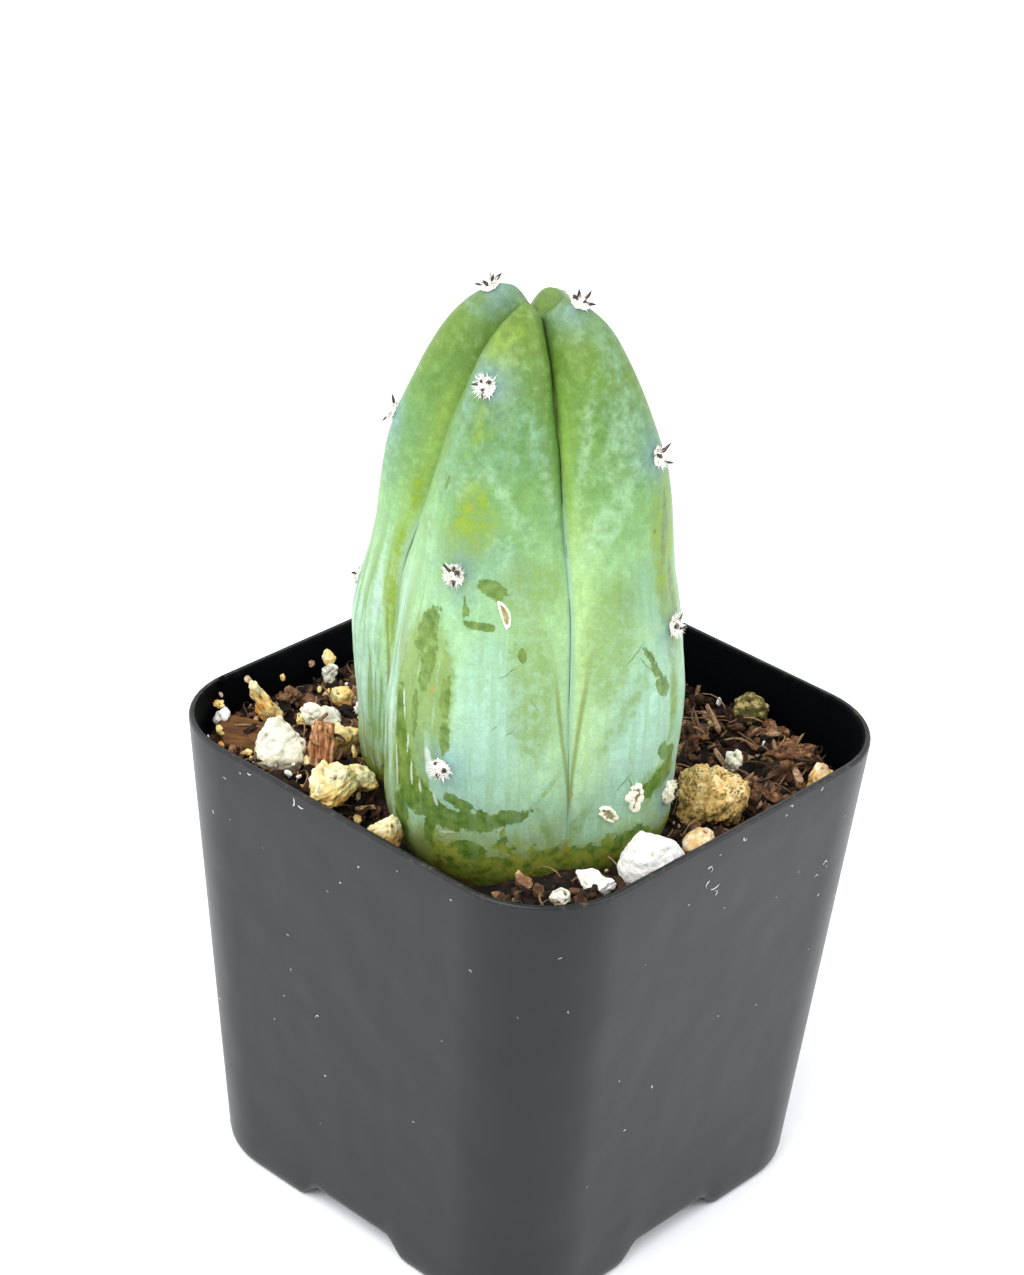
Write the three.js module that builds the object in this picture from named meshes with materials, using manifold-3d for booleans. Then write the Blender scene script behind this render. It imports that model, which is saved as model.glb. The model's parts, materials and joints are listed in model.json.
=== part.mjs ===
// Blue candle cactus in a square plastic nursery pot. Millimetres, +Z up.
// The origin is the middle of the pot's footprint, on the surface that it stands on.
// The pot's sides run along X and Y. The cactus stands a little off the middle of the pot,
// towards +X and -Y, and leans back a little the other way.
import * as THREE from 'three';
import { mergeVertices } from 'three/addons/utils/BufferGeometryUtils.js';
import Module from 'manifold-3d';

// Gap left between pieces that touch, and how far a sharp corner is moved for that gap
const GAP = 0.3;
const CHIP_POCKET = 0.7;

// Pot: a tapered square tub with rounded corners
const POT_TOP = 60;
const POT_BASE = 51.5;
const POT_HEIGHT = 57;
const POT_CORNER = 11.4;
const POT_WALL = 0.9;
const POT_FOOT_EDGE = 1.6;
const CORNER_STEPS = 6;

// Base of the pot: a raised cross that leaves a foot at each corner and an arch in each side
const ARCH_FOOT_WIDTH = 17;
const ARCH_TOP_WIDTH = 11;
const ARCH_HEIGHT = 2.2;
const ARCH_ROUND = 0.7;
const DRAIN_RADIUS = 2.6;
const DRAIN_OFFSET = 13;
const DRAIN_PLACES = [[0, 0], [1, 0], [-1, 0], [0, 1], [0, -1]];

// Moulding nub on the rim, near the -X -Y corner
const NUB_AT = [-28.9, -19.6, POT_HEIGHT];
const NUB_RADIUS = 0.5;

// Soil: level at the middle, how it falls towards +X and +Y, and its lumps
const SOIL_LEVEL = 51;
const SOIL_FALL_X = 0.035;
const SOIL_FALL_Y = 0.03;
const SOIL_RIPPLE = 0.3;
const RIPPLE_LENGTH_X = 3.1;
const RIPPLE_LENGTH_Y = 2.7;
const SOIL_GRID = 18;
const SOIL_MOUNDS = [
  { x: 10, y: 25.5, rise: 1.6, reach: 5 },
  { x: 22, y: -15, rise: 0.9, reach: 4 },
];

// Stem: the axis at the soil, how far it shifts for each millimetre above that, and the two
// meridians as [radius, height]. One runs down the crest of a rib and the other down the
// groove between two ribs.
const STEM_AXIS = [4.5, -6.1];
const STEM_LEAN = [-0.013, -0.012];
const STEM_FOOT = 50;
const STEM_TOP = 110.5;
const STEM_HEIGHT = 60;
const CREST_LINE = [
  [0, 108.3], [1.6, 109.6], [3, 110.5], [6.9, 108], [10.3, 102.5], [13.7, 93.5],
  [15.3, 82.5], [17.5, 70.5], [17.5, 59.5], [16.6, 50.5], [10.3, 42.5], [0, 38.5],
];
const GROOVE_LINE = [
  [0, 108.3], [0.8, 107.4], [2.2, 105.3], [4.5, 101.8], [7.2, 96.3], [9.1, 89.3],
  [12.6, 80.3], [13.2, 69.3], [14.2, 58.8], [13.4, 50.3], [8.3, 42.8], [0, 38.5],
];
// How blunt a rib is across its width, at the top and at the soil
const RIB_BLUNTNESS_TOP = 0.36;
const RIB_BLUNTNESS_BASE = 1;
// A lifted rib comes down to its meridian over this height, and from this radius inwards
const CROWN_DEPTH = 30;
const CROWN_RADIUS = 4;
// Share of the meridian, from the crown, where the crest starts to fall
const SUMMIT = 0.16;
const STEM_RINGS = 30;
const RIB_STEPS = 12;

// Ribs, anticlockwise from above. Each starts at a groove, whose direction in degrees turns
// by drift towards the base. crest is the crest's share of the rib's width at the top and at
// the base, reach scales its radius there, and lift raises its crown.
const RIBS = [
  { name: 'left', groove: -200.5, drift: 0, crest: [0.7, 0.7], reach: [1.12, 1.11], lift: 1.3 },
  { name: 'front', groove: -122, drift: -22.5, crest: [0.4, 0.58], reach: [0.86, 0.92], lift: 0 },
  { name: 'right', groove: -24.7, drift: -2.2, crest: [0.5, 0.5], reach: [1.09, 0.96], lift: 0.7 },
  { name: 'back', groove: 63.5, drift: 0, crest: [0.5, 0.5], reach: [1, 1], lift: 0 },
];

// Areoles: heights on the crest of each rib, from the top down
const AREOLE_HEIGHTS = {
  left: [111.1, 95.5, 75, 57.5],
  front: [103.5, 84.4, 63],
  right: [110.8, 96.2, 77.5, 57.5],
  back: [109, 88.5, 68.5],
};
const WOOL_RADIUS = 1.35;
const WOOL_HEIGHT = 0.8;
const SPINE_LENGTH = 1.8;
const SPINE_RADIUS = 0.24;
const SPINE_LEAN = 58;
const SPINES_AROUND = 4;
const SPINE_ROOT = 0.2;

// Stones and grit on the soil: where, how far the middle is above the soil, the full size
// across, along and up, and the turn about the upright in degrees. fine is the number of
// times that the faces of a larger stone are divided.
const STONES = [
  { name: 'pumice_cream', at: [-18, -21], lift: 1.6, size: [5.8, 5, 5.4], turn: 43, fine: 2 },
  { name: 'pumice_yellow', at: [-8.5, -23], lift: 1.7, size: [5.4, 4.6, 5], turn: 43, fine: 2 },
  { name: 'pumice_brown', at: [-8, -18], lift: 1.4, size: [3.2, 2.6, 2.8], turn: 40 },
  { name: 'pumice_small_yellow', at: [-15.5, -14], lift: 0.9, size: [3.2, 2.6, 3], turn: 43 },
  { name: 'perlite_long', at: [-21, -12], lift: 0.9, size: [5.4, 2.6, 2.6], turn: 38 },
  { name: 'pumice_round', at: [-22.2, -7.4], lift: 0.9, size: [2.6, 2.4, 2.4], turn: 0 },
  { name: 'pebble_under', at: [-26.8, -5], lift: 0.9, size: [1.8, 1.8, 2.2], turn: 20 },
  { name: 'pebble_on_top', at: [-27.2, -4.8], lift: 3, size: [1.4, 1.4, 1.8], turn: 70 },
  { name: 'pumice_upright', at: [-25.7, -16], lift: 1.6, size: [2.2, 1.8, 4.6], turn: 43, lean: -16 },
  { name: 'perlite_corner', at: [-26.9, -21.4], lift: 0.9, size: [1.8, 1.6, 2.2], turn: 10 },
  { name: 'pumice_rim', at: [1, -23.4], lift: 0.8, size: [3.2, 2.6, 3.2], turn: 43 },
  { name: 'pumice_green', at: [10, 26.2], lift: 1.2, size: [4.2, 3.6, 3.4], turn: 43 },
  { name: 'pumice_tan', at: [19.2, 8.4], lift: 2, size: [8.2, 6, 6.6], turn: 40, fine: 2 },
  { name: 'pumice_orange', at: [23.8, 1.6], lift: 1, size: [3.8, 3, 3], turn: 43 },
  { name: 'perlite_big', at: [24.6, -7], lift: 2.6, size: [6.8, 4.6, 7], turn: 48, fine: 2 },
  { name: 'perlite_front', at: [22.4, -13.9], lift: 1, size: [4.4, 2.4, 2.4], turn: 40 },
  { name: 'perlite_small', at: [21.4, -18], lift: 0.6, size: [2, 1.8, 1.8], turn: 0 },
  { name: 'perlite_crumb', at: [14.6, 18.2], lift: 0.6, size: [1.9, 1.7, 2.6], turn: 25 },
  { name: 'pumice_wedge', at: [24.2, 21.6], lift: 1.6, size: [4.4, 2.6, 5.4], turn: 43 },
  { name: 'pumice_back_tan', at: [-9, 16], lift: 1.2, size: [5.6, 4.4, 4.4], turn: 15, fine: 2 },
  { name: 'pumice_back_cream', at: [1.5, 21.5], lift: 1, size: [4.2, 3.6, 3.6], turn: 60 },
  { name: 'perlite_back', at: [-17.5, 4], lift: 1, size: [4.4, 3.8, 3.8], turn: 100 },
  { name: 'pumice_back_yellow', at: [-13.5, 10.2], lift: 0.8, size: [3.2, 2.6, 2.6], turn: 30 },
  { name: 'perlite_back_small', at: [-3.6, 24.6], lift: 0.6, size: [2.2, 2, 2], turn: 0 },
  { name: 'pumice_back_brown', at: [-24, 4.5], lift: 0.8, size: [3, 2.6, 2.4], turn: 75 },
];

// How far a stone is from round
const STONE_SWELL = 0.1;
const STONE_TAPER = 0.06;

// Bark chips: an irregular plate with its outline in its own plane
const BARK = [
  {
    name: 'bark_flat',
    at: [-22.9, -20.9],
    lift: 0.5,
    thickness: 0.9,
    outline: [[-2.6, 1.4], [-1.2, 2.1], [2.2, 1.3], [2.6, -0.6], [1.4, -2.2], [-2, -1.5]],
    turn: 43,
    lean: 12,
  },
  {
    name: 'bark_upright',
    at: [-14.2, -18.1],
    lift: 2,
    thickness: 1.4,
    outline: [[-1.2, -2.6], [1, -2.4], [1.3, 0.4], [0.9, 2.5], [-0.8, 2.7], [-1.4, 0.2]],
    turn: 43,
    lean: 82,
  },
  {
    name: 'bark_chunk',
    at: [17.8, 24.4],
    lift: 0.6,
    thickness: 2,
    outline: [[-2.7, -0.9], [0.6, -1.5], [2.8, -0.4], [2.2, 1.2], [-0.9, 1.4], [-2.5, 0.8]],
    turn: 43,
    lean: 8,
  },
  {
    name: 'bark_lump',
    at: [20.4, 15.8],
    lift: 0.6,
    thickness: 1.8,
    outline: [[-2.2, -0.8], [0.4, -1.4], [2.2, -0.6], [1.6, 1], [-1.4, 1.2]],
    turn: 30,
    lean: 10,
  },
  {
    name: 'bark_back',
    at: [8, 19],
    lift: 0.5,
    thickness: 1.6,
    outline: [[-1.6, -1], [1.2, -1.3], [1.8, 0.5], [0.2, 1.5], [-1.5, 0.9]],
    turn: 55,
    lean: 14,
  },
];

// Finishes: colour, roughness, metalness
const FINISH = {
  pot: ['#55575a', 0.45, 0],
  soil: ['#3b2a1e', 0.95, 0],
  stem: ['#8fb79a', 0.5, 0],
  areole: ['#d8d4c8', 0.9, 0],
  pumice: ['#c2a468', 0.9, 0],
  perlite: ['#e9e6da', 0.9, 0],
  bark: ['#7a4f2e', 0.9, 0],
};

const UP = new THREE.Vector3(0, 0, 1);

const wasm = await Module();
wasm.setup();

// A geometry with only its corners' places, each corner once, and no empty faces
function weld(geometry) {
  const bare = geometry.clone();
  bare.deleteAttribute('normal');
  bare.deleteAttribute('uv');
  const merged = mergeVertices(bare, 1e-5);
  const index = merged.index.array;
  const faces = [];
  for (let i = 0; i < index.length; i += 3) {
    const [a, b, c] = index.slice(i, i + 3);
    if (a !== b && b !== c && c !== a) faces.push(a, b, c);
  }
  merged.setIndex(faces);
  return merged;
}

// A closed geometry as a solid that can be joined and cut
function solidOf(geometry) {
  const welded = weld(geometry);
  return new wasm.Manifold(new wasm.Mesh({
    numProp: 3,
    vertProperties: new Float32Array(welded.attributes.position.array),
    triVerts: new Uint32Array(welded.index.array),
  }));
}

// A geometry whose corners are moved outwards
function grown(geometry, amount) {
  const welded = weld(geometry);
  welded.computeVertexNormals();
  const normal = new THREE.Vector3();
  return reshape(welded, (point, i) => {
    normal.fromBufferAttribute(welded.attributes.normal, i);
    point.addScaledVector(normal, amount);
  });
}

// A solid as a geometry
function geometryOf(solid) {
  const mesh = solid.getMesh();
  const geometry = new THREE.BufferGeometry();
  geometry.setAttribute('position', new THREE.BufferAttribute(mesh.vertProperties, mesh.numProp));
  geometry.setIndex(new THREE.BufferAttribute(mesh.triVerts, 1));
  geometry.computeVertexNormals();
  return geometry;
}

// Moves every vertex of a geometry by a function of its place
function reshape(geometry, move) {
  const position = geometry.attributes.position;
  const point = new THREE.Vector3();
  for (let i = 0; i < position.count; i += 1) {
    point.fromBufferAttribute(position, i);
    move(point, i);
    position.setXYZ(i, point.x, point.y, point.z);
  }
  return geometry;
}

// Outside half width of the pot at a height
function potHalf(z) {
  return (POT_BASE + (POT_TOP - POT_BASE) * z / POT_HEIGHT) / 2;
}

// A rounded square whose half width is 1
function unitSquare() {
  const radius = POT_CORNER * 2 / POT_TOP;
  const c = 1 - radius;
  const shape = new THREE.Shape();
  shape.absarc(c, c, radius, 0, Math.PI / 2);
  shape.absarc(-c, c, radius, Math.PI / 2, Math.PI);
  shape.absarc(-c, -c, radius, Math.PI, Math.PI * 1.5);
  shape.absarc(c, -c, radius, Math.PI * 1.5, Math.PI * 2);
  return shape;
}

// A tapered rounded square block through levels of [height, half width]
function tub(levels) {
  const geometry = new THREE.ExtrudeGeometry(unitSquare(), {
    depth: 1,
    steps: levels.length - 1,
    curveSegments: CORNER_STEPS,
    bevelEnabled: false,
  });
  return reshape(geometry, (point) => {
    const [z, half] = levels[Math.round(point.z * (levels.length - 1))];
    point.set(point.x * half, point.y * half, z);
  });
}

// The arched cross under the base, thicker by grow on every side
function archCross(grow) {
  const foot = ARCH_FOOT_WIDTH / 2 + grow;
  const top = ARCH_TOP_WIDTH / 2 + grow;
  const height = ARCH_HEIGHT + grow;
  const arch = new THREE.Shape();
  arch.moveTo(-foot, -1);
  arch.lineTo(foot, -1);
  arch.lineTo(foot, 0);
  arch.quadraticCurveTo(top + ARCH_ROUND, height, top - ARCH_ROUND, height);
  arch.lineTo(ARCH_ROUND - top, height);
  arch.quadraticCurveTo(-top - ARCH_ROUND, height, -foot, 0);
  arch.closePath();
  const bar = new THREE.ExtrudeGeometry(arch, {
    depth: POT_TOP,
    curveSegments: 4,
    bevelEnabled: false,
  });
  bar.translate(0, 0, -POT_TOP / 2);
  bar.rotateX(Math.PI / 2);
  const across = bar.clone().rotateZ(Math.PI / 2);
  return solidOf(bar).add(solidOf(across));
}

// The space inside the pot up to a height, smaller by gap on every side
function potSpace(top, gap) {
  const wall = POT_WALL + gap;
  const edge = wall + POT_FOOT_EDGE;
  const space = solidOf(tub([
    [wall, potHalf(wall) - wall - POT_FOOT_EDGE / 2],
    [edge, potHalf(edge) - wall],
    [top, potHalf(top) - wall],
  ]));
  return space.subtract(archCross(wall));
}

// Pot: one moulded shell, with drain holes through the raised cross
function makePot() {
  let pot = solidOf(tub([
    [0, potHalf(0) - POT_FOOT_EDGE / 2],
    [POT_FOOT_EDGE / 3, potHalf(0) - POT_FOOT_EDGE / 6],
    [POT_FOOT_EDGE, potHalf(POT_FOOT_EDGE)],
    [POT_HEIGHT, potHalf(POT_HEIGHT)],
  ]));
  pot = pot.subtract(potSpace(POT_HEIGHT + 1, 0));
  pot = pot.subtract(archCross(0));
  for (const [x, y] of DRAIN_PLACES) {
    const hole = new THREE.CylinderGeometry(DRAIN_RADIUS, DRAIN_RADIUS, 4 * ARCH_HEIGHT, 20);
    hole.rotateX(Math.PI / 2);
    hole.translate(x * DRAIN_OFFSET, y * DRAIN_OFFSET, 0);
    pot = pot.subtract(solidOf(hole));
  }
  const nub = new THREE.SphereGeometry(NUB_RADIUS, 10, 8);
  nub.translate(...NUB_AT);
  return pot.add(solidOf(nub));
}

// Height of the soil's surface
function soilHeight(x, y) {
  let z = SOIL_LEVEL - SOIL_FALL_X * x - SOIL_FALL_Y * y;
  z += SOIL_RIPPLE * Math.sin(x / RIPPLE_LENGTH_X) * Math.cos(y / RIPPLE_LENGTH_Y);
  for (const mound of SOIL_MOUNDS) {
    const away = Math.hypot(x - mound.x, y - mound.y) / mound.reach;
    z += mound.rise * Math.exp(-away * away);
  }
  return z;
}

// Soil: fills the pot up to its lumpy surface
function makeSoil() {
  const block = new THREE.BoxGeometry(POT_TOP, POT_TOP, 1, SOIL_GRID, SOIL_GRID, 1);
  reshape(block, (point) => {
    point.z = point.z < 0 ? 0 : soilHeight(point.x, point.y);
  });
  return potSpace(POT_HEIGHT, GAP).intersect(solidOf(block));
}

const crestCurve = new THREE.SplineCurve(CREST_LINE.map(([r, z]) => new THREE.Vector2(r, z)));
const grooveCurve = new THREE.SplineCurve(GROOVE_LINE.map(([r, z]) => new THREE.Vector2(r, z)));

// A point of the stem's skin, from the plant's axis. along runs from the crown (0) to the
// base (1), rib is the rib's number, and across runs over that rib from one groove (0) to
// the next (1).
function stemPoint(rib, across, along) {
  const crest = crestCurve.getPoint(along);
  const groove = grooveCurve.getPoint(along);
  const depth = Math.min(Math.max((STEM_TOP - groove.y) / STEM_HEIGHT, 0), 1.1);
  const blend = Math.min(depth, 1);
  const here = RIBS[rib];
  const next = RIBS[(rib + 1) % RIBS.length];
  const turn = rib === RIBS.length - 1 ? 360 : 0;
  const from = here.groove + here.drift * depth;
  const to = next.groove + next.drift * depth + turn;
  const share = THREE.MathUtils.lerp(here.crest[0], here.crest[1], depth);
  const side = across < share ? across / share : (1 - across) / (1 - share);
  const blunt = THREE.MathUtils.lerp(RIB_BLUNTNESS_TOP, RIB_BLUNTNESS_BASE, blend);
  const swell = Math.sin(Math.PI / 2 * Math.max(side, 0)) ** blunt;
  const reach = THREE.MathUtils.lerp(here.reach[0], here.reach[1], depth);
  const near = Math.max(1 - (STEM_TOP - crest.y) / CROWN_DEPTH, 0);
  const crown = near * Math.min(crest.x / CROWN_RADIUS, 1);
  const radius = THREE.MathUtils.lerp(groove.x, crest.x * reach, swell);
  const height = THREE.MathUtils.lerp(groove.y, crest.y + here.lift * crown, swell);
  const angle = THREE.MathUtils.degToRad(THREE.MathUtils.lerp(from, to, across));
  return new THREE.Vector3(
    STEM_LEAN[0] * (height - STEM_FOOT) + radius * Math.cos(angle),
    STEM_LEAN[1] * (height - STEM_FOOT) + radius * Math.sin(angle),
    height,
  );
}

// Share of a rib's width where its crest lies, for a place along the stem
function crestShare(rib, along) {
  const depth = (STEM_TOP - grooveCurve.getPoint(along).y) / STEM_HEIGHT;
  return THREE.MathUtils.lerp(RIBS[rib].crest[0], RIBS[rib].crest[1], depth);
}

// Stem: a lathed blank whose rings are drawn out into ribs
function makeStem() {
  const profile = [];
  for (let i = 0; i <= STEM_RINGS; i += 1) {
    const onAxis = i === 0 || i === STEM_RINGS;
    profile.push(new THREE.Vector2(onAxis ? 0 : 1, i));
  }
  const steps = RIBS.length * RIB_STEPS;
  const blank = new THREE.LatheGeometry(profile, steps);
  blank.rotateX(Math.PI / 2);
  const uv = blank.attributes.uv;
  reshape(blank, (point, i) => {
    const column = Math.round(uv.getX(i) * steps) % steps;
    const rib = Math.floor(column / RIB_STEPS);
    point.copy(stemPoint(rib, (column % RIB_STEPS) / RIB_STEPS, 1 - uv.getY(i)));
  });
  return blank;
}

// The place on a rib's crest at a height, and the skin's outward normal there
function crestFrame(rib, height) {
  let along = SUMMIT;
  while (along < 1 && stemPoint(rib, crestShare(rib, along), along).z > height) along += 0.001;
  const share = crestShare(rib, along);
  const place = stemPoint(rib, share, along);
  const lower = stemPoint(rib, share, along + 0.01).sub(place);
  const beside = stemPoint(rib, share + 0.02, along).sub(stemPoint(rib, share - 0.02, along));
  const normal = lower.cross(beside).normalize();
  return { place, normal };
}

// Areole: a pad of wool on the crest, trimmed to the skin, with spines standing out of it
function makeAreole(rib, height, skin) {
  const { place, normal } = crestFrame(rib, height);
  const pad = new THREE.SphereGeometry(1, 8, 6);
  pad.rotateX(Math.PI / 2);
  pad.scale(WOOL_RADIUS, WOOL_RADIUS, WOOL_HEIGHT);
  let areole = solidOf(pad);
  for (let i = 0; i <= SPINES_AROUND; i += 1) {
    const central = i === SPINES_AROUND;
    const spine = new THREE.ConeGeometry(SPINE_RADIUS, SPINE_LENGTH, 4);
    spine.translate(0, SPINE_LENGTH / 2 + SPINE_ROOT, 0);
    spine.rotateX(Math.PI / 2);
    if (!central) {
      spine.rotateX(-THREE.MathUtils.degToRad(SPINE_LEAN));
      spine.rotateZ(Math.PI * 2 * i / SPINES_AROUND + height);
    }
    areole = areole.add(solidOf(spine));
  }
  const turn = new THREE.Quaternion().setFromUnitVectors(UP, normal);
  const geometry = geometryOf(areole);
  geometry.applyQuaternion(turn);
  geometry.translate(
    place.x + normal.x * GAP,
    place.y + normal.y * GAP,
    place.z + normal.z * GAP,
  );
  return solidOf(geometry).subtract(skin);
}

// Stone: a ball pressed out of round
function makeStone(stone, seed) {
  const ball = new THREE.IcosahedronGeometry(1, stone.fine ?? 1);
  reshape(ball, (point) => {
    const swell = STONE_SWELL * Math.sin(2.6 * point.x + seed) * Math.cos(2.2 * point.y - seed);
    const taper = STONE_TAPER * Math.sin(3.4 * point.z + 2 * seed);
    point.multiplyScalar(1 - STONE_SWELL + swell + taper);
  });
  ball.scale(stone.size[0] / 2, stone.size[1] / 2, stone.size[2] / 2);
  ball.rotateY(THREE.MathUtils.degToRad(stone.lean ?? 0));
  return ball;
}

// Bark chip: an extruded outline
function makeBark(chip) {
  const outline = new THREE.Shape(chip.outline.map(([x, y]) => new THREE.Vector2(x, y)));
  const plate = new THREE.ExtrudeGeometry(outline, { depth: chip.thickness, bevelEnabled: false });
  plate.translate(0, 0, -chip.thickness / 2);
  plate.rotateX(THREE.MathUtils.degToRad(chip.lean));
  return plate;
}

// A named mesh with one of the finishes
function piece(name, finish, solid) {
  const [color, roughness, metalness] = FINISH[finish];
  const material = new THREE.MeshStandardMaterial({ color, roughness, metalness });
  const mesh = new THREE.Mesh(geometryOf(solid), material);
  mesh.name = name;
  return mesh;
}

// A stone or chip, turned and set on the soil
function strewn(item, finish, geometry) {
  const mesh = piece(item.name, finish, solidOf(geometry));
  mesh.rotation.z = THREE.MathUtils.degToRad(item.turn);
  mesh.position.set(...item.at, soilHeight(...item.at) + item.lift);
  return mesh;
}

// The space that a placed mesh takes, with room around it
function spaceOf(mesh, room) {
  mesh.updateWorldMatrix(true, false);
  return solidOf(grown(mesh.geometry, room).applyMatrix4(mesh.matrixWorld));
}

// The plant: its stem, and the areoles down the crest of each rib
const plant = new THREE.Group();
plant.position.set(...STEM_AXIS, 0);
const stem = piece('cactus_stem', 'stem', solidOf(makeStem()));
const skin = solidOf(grown(stem.geometry, GAP));
plant.add(stem);
RIBS.forEach((rib, number) => {
  AREOLE_HEIGHTS[rib.name].forEach((height, i) => {
    const name = `areole_${rib.name}_${i + 1}`;
    plant.add(piece(name, 'areole', makeAreole(number, height, skin)));
  });
});

// What lies on the soil
const stones = new THREE.Group();
STONES.forEach((stone, i) => {
  const finish = stone.name.startsWith('perlite') ? 'perlite' : 'pumice';
  stones.add(strewn(stone, finish, makeStone(stone, i)));
});
const chips = new THREE.Group();
for (const chip of BARK) chips.add(strewn(chip, 'bark', makeBark(chip)));

// The soil, hollowed where the stem, the stones and the chips sit in it
let soil = makeSoil().subtract(spaceOf(stem, GAP));
for (const stone of stones.children) soil = soil.subtract(spaceOf(stone, GAP));
for (const chip of chips.children) soil = soil.subtract(spaceOf(chip, CHIP_POCKET));

const cactus = new THREE.Group();
cactus.add(piece('pot', 'pot', makePot()));
cactus.add(piece('soil', 'soil', soil));
cactus.add(plant, stones, chips);

export default cactus;
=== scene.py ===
"""Looks of a blue candle cactus in a square plastic pot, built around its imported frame.

Metres, +Z up. The origin is the middle of the pot's footprint, and the pot's sides run along X
and Y. Sizes are written in millimetres, as they are measured on the plant, and MM turns them
to metres where a mesh or a material is made.
"""

import json
import logging
import random
from dataclasses import dataclass
from enum import Enum
from math import atan2, copysign, cos, exp, hypot, pi, radians, sin, sqrt
from typing import Iterable, Sequence

import bmesh
import bpy
from mathutils import Euler, Matrix, Quaternion, Vector, noise
from mathutils.bvhtree import BVHTree
from mathutils.kdtree import KDTree

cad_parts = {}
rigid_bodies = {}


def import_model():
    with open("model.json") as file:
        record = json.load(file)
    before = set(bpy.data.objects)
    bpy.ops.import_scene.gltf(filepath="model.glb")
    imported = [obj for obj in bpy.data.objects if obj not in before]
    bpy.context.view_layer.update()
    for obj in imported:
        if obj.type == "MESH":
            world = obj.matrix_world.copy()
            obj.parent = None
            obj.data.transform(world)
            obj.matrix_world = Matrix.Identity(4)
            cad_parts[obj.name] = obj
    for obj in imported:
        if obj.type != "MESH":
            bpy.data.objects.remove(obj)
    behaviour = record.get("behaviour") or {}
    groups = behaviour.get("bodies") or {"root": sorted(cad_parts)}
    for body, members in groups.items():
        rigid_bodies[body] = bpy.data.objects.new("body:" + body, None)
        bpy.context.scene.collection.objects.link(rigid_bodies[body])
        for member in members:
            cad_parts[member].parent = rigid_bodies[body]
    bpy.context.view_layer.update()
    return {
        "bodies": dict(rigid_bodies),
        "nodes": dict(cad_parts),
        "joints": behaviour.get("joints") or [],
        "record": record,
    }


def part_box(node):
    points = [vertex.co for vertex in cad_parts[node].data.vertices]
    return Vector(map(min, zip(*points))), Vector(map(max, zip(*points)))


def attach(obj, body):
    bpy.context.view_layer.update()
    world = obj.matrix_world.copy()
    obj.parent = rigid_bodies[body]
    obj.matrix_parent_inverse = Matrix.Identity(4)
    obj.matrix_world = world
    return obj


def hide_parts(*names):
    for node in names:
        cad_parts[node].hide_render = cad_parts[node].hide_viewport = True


LOG = logging.getLogger("candle_cactus")

Shape = bmesh.types.BMesh
Finish = bpy.types.Material
Socket = bpy.types.NodeSocket
Row = tuple[float, ...]
Pair = tuple[float, float]
Place = tuple[float, float, float]
Ring = tuple[Pair, Pair, float]

MM = 0.001
UP = Vector((0.0, 0.0, 1.0))
BODY = "root"
PATTERNS = ("TexNoise", "TexVoronoi")


def linear(hex_colour: str) -> tuple[float, float, float, float]:
    """Turns an sRGB hex colour to linear.

    Args:
        hex_colour: The colour as #RRGGBB.

    Returns:
        Linear red, green, blue and an alpha of one.
    """
    shares = [int(hex_colour[i:i + 2], 16) / 255 for i in (1, 3, 5)]
    red, green, blue = (s / 12.92 if s <= 0.04045 else ((s + 0.055) / 1.055) ** 2.4 for s in shares)
    return red, green, blue, 1.0


def per(size: float) -> float:
    """The scale of a pattern whose features are size millimetres across."""
    return 1.0 / (size * MM)


def mixed(a: float, b: float, share: float) -> float:
    """The value that lies share of the way from a to b."""
    return a + (b - a) * share


def clamped(value: float) -> float:
    """The value, held between nought and one."""
    return min(max(value, 0.0), 1.0)


def eased(value: float) -> float:
    """The value held between nought and one, with soft ends."""
    share = clamped(value)
    return share * share * (3 - 2 * share)


def span(value: Socket, start: float, end: float, low: float = 0.0, high: float = 1.0) -> dict:
    """The inputs that turn a value's run from start to end into one from low to high."""
    return {"Value": value, "From Min": start, "From Max": end, "To Min": low, "To Max": high}


def grain(size: float, detail: float, roughness: float = 0.5) -> dict:
    """The inputs of a noise whose coarsest features are size millimetres across."""
    return {"Scale": per(size), "Detail": detail, "Roughness": roughness}


def relief(height: Socket, strength: float, depth: float, under: Socket | None = None) -> dict:
    """The inputs of a relief, of a depth in millimetres, laid over another where there is one."""
    sockets = {"Height": height, "Strength": strength, "Distance": depth * MM}
    return sockets if under is None else {**sockets, "Normal": under}


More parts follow.
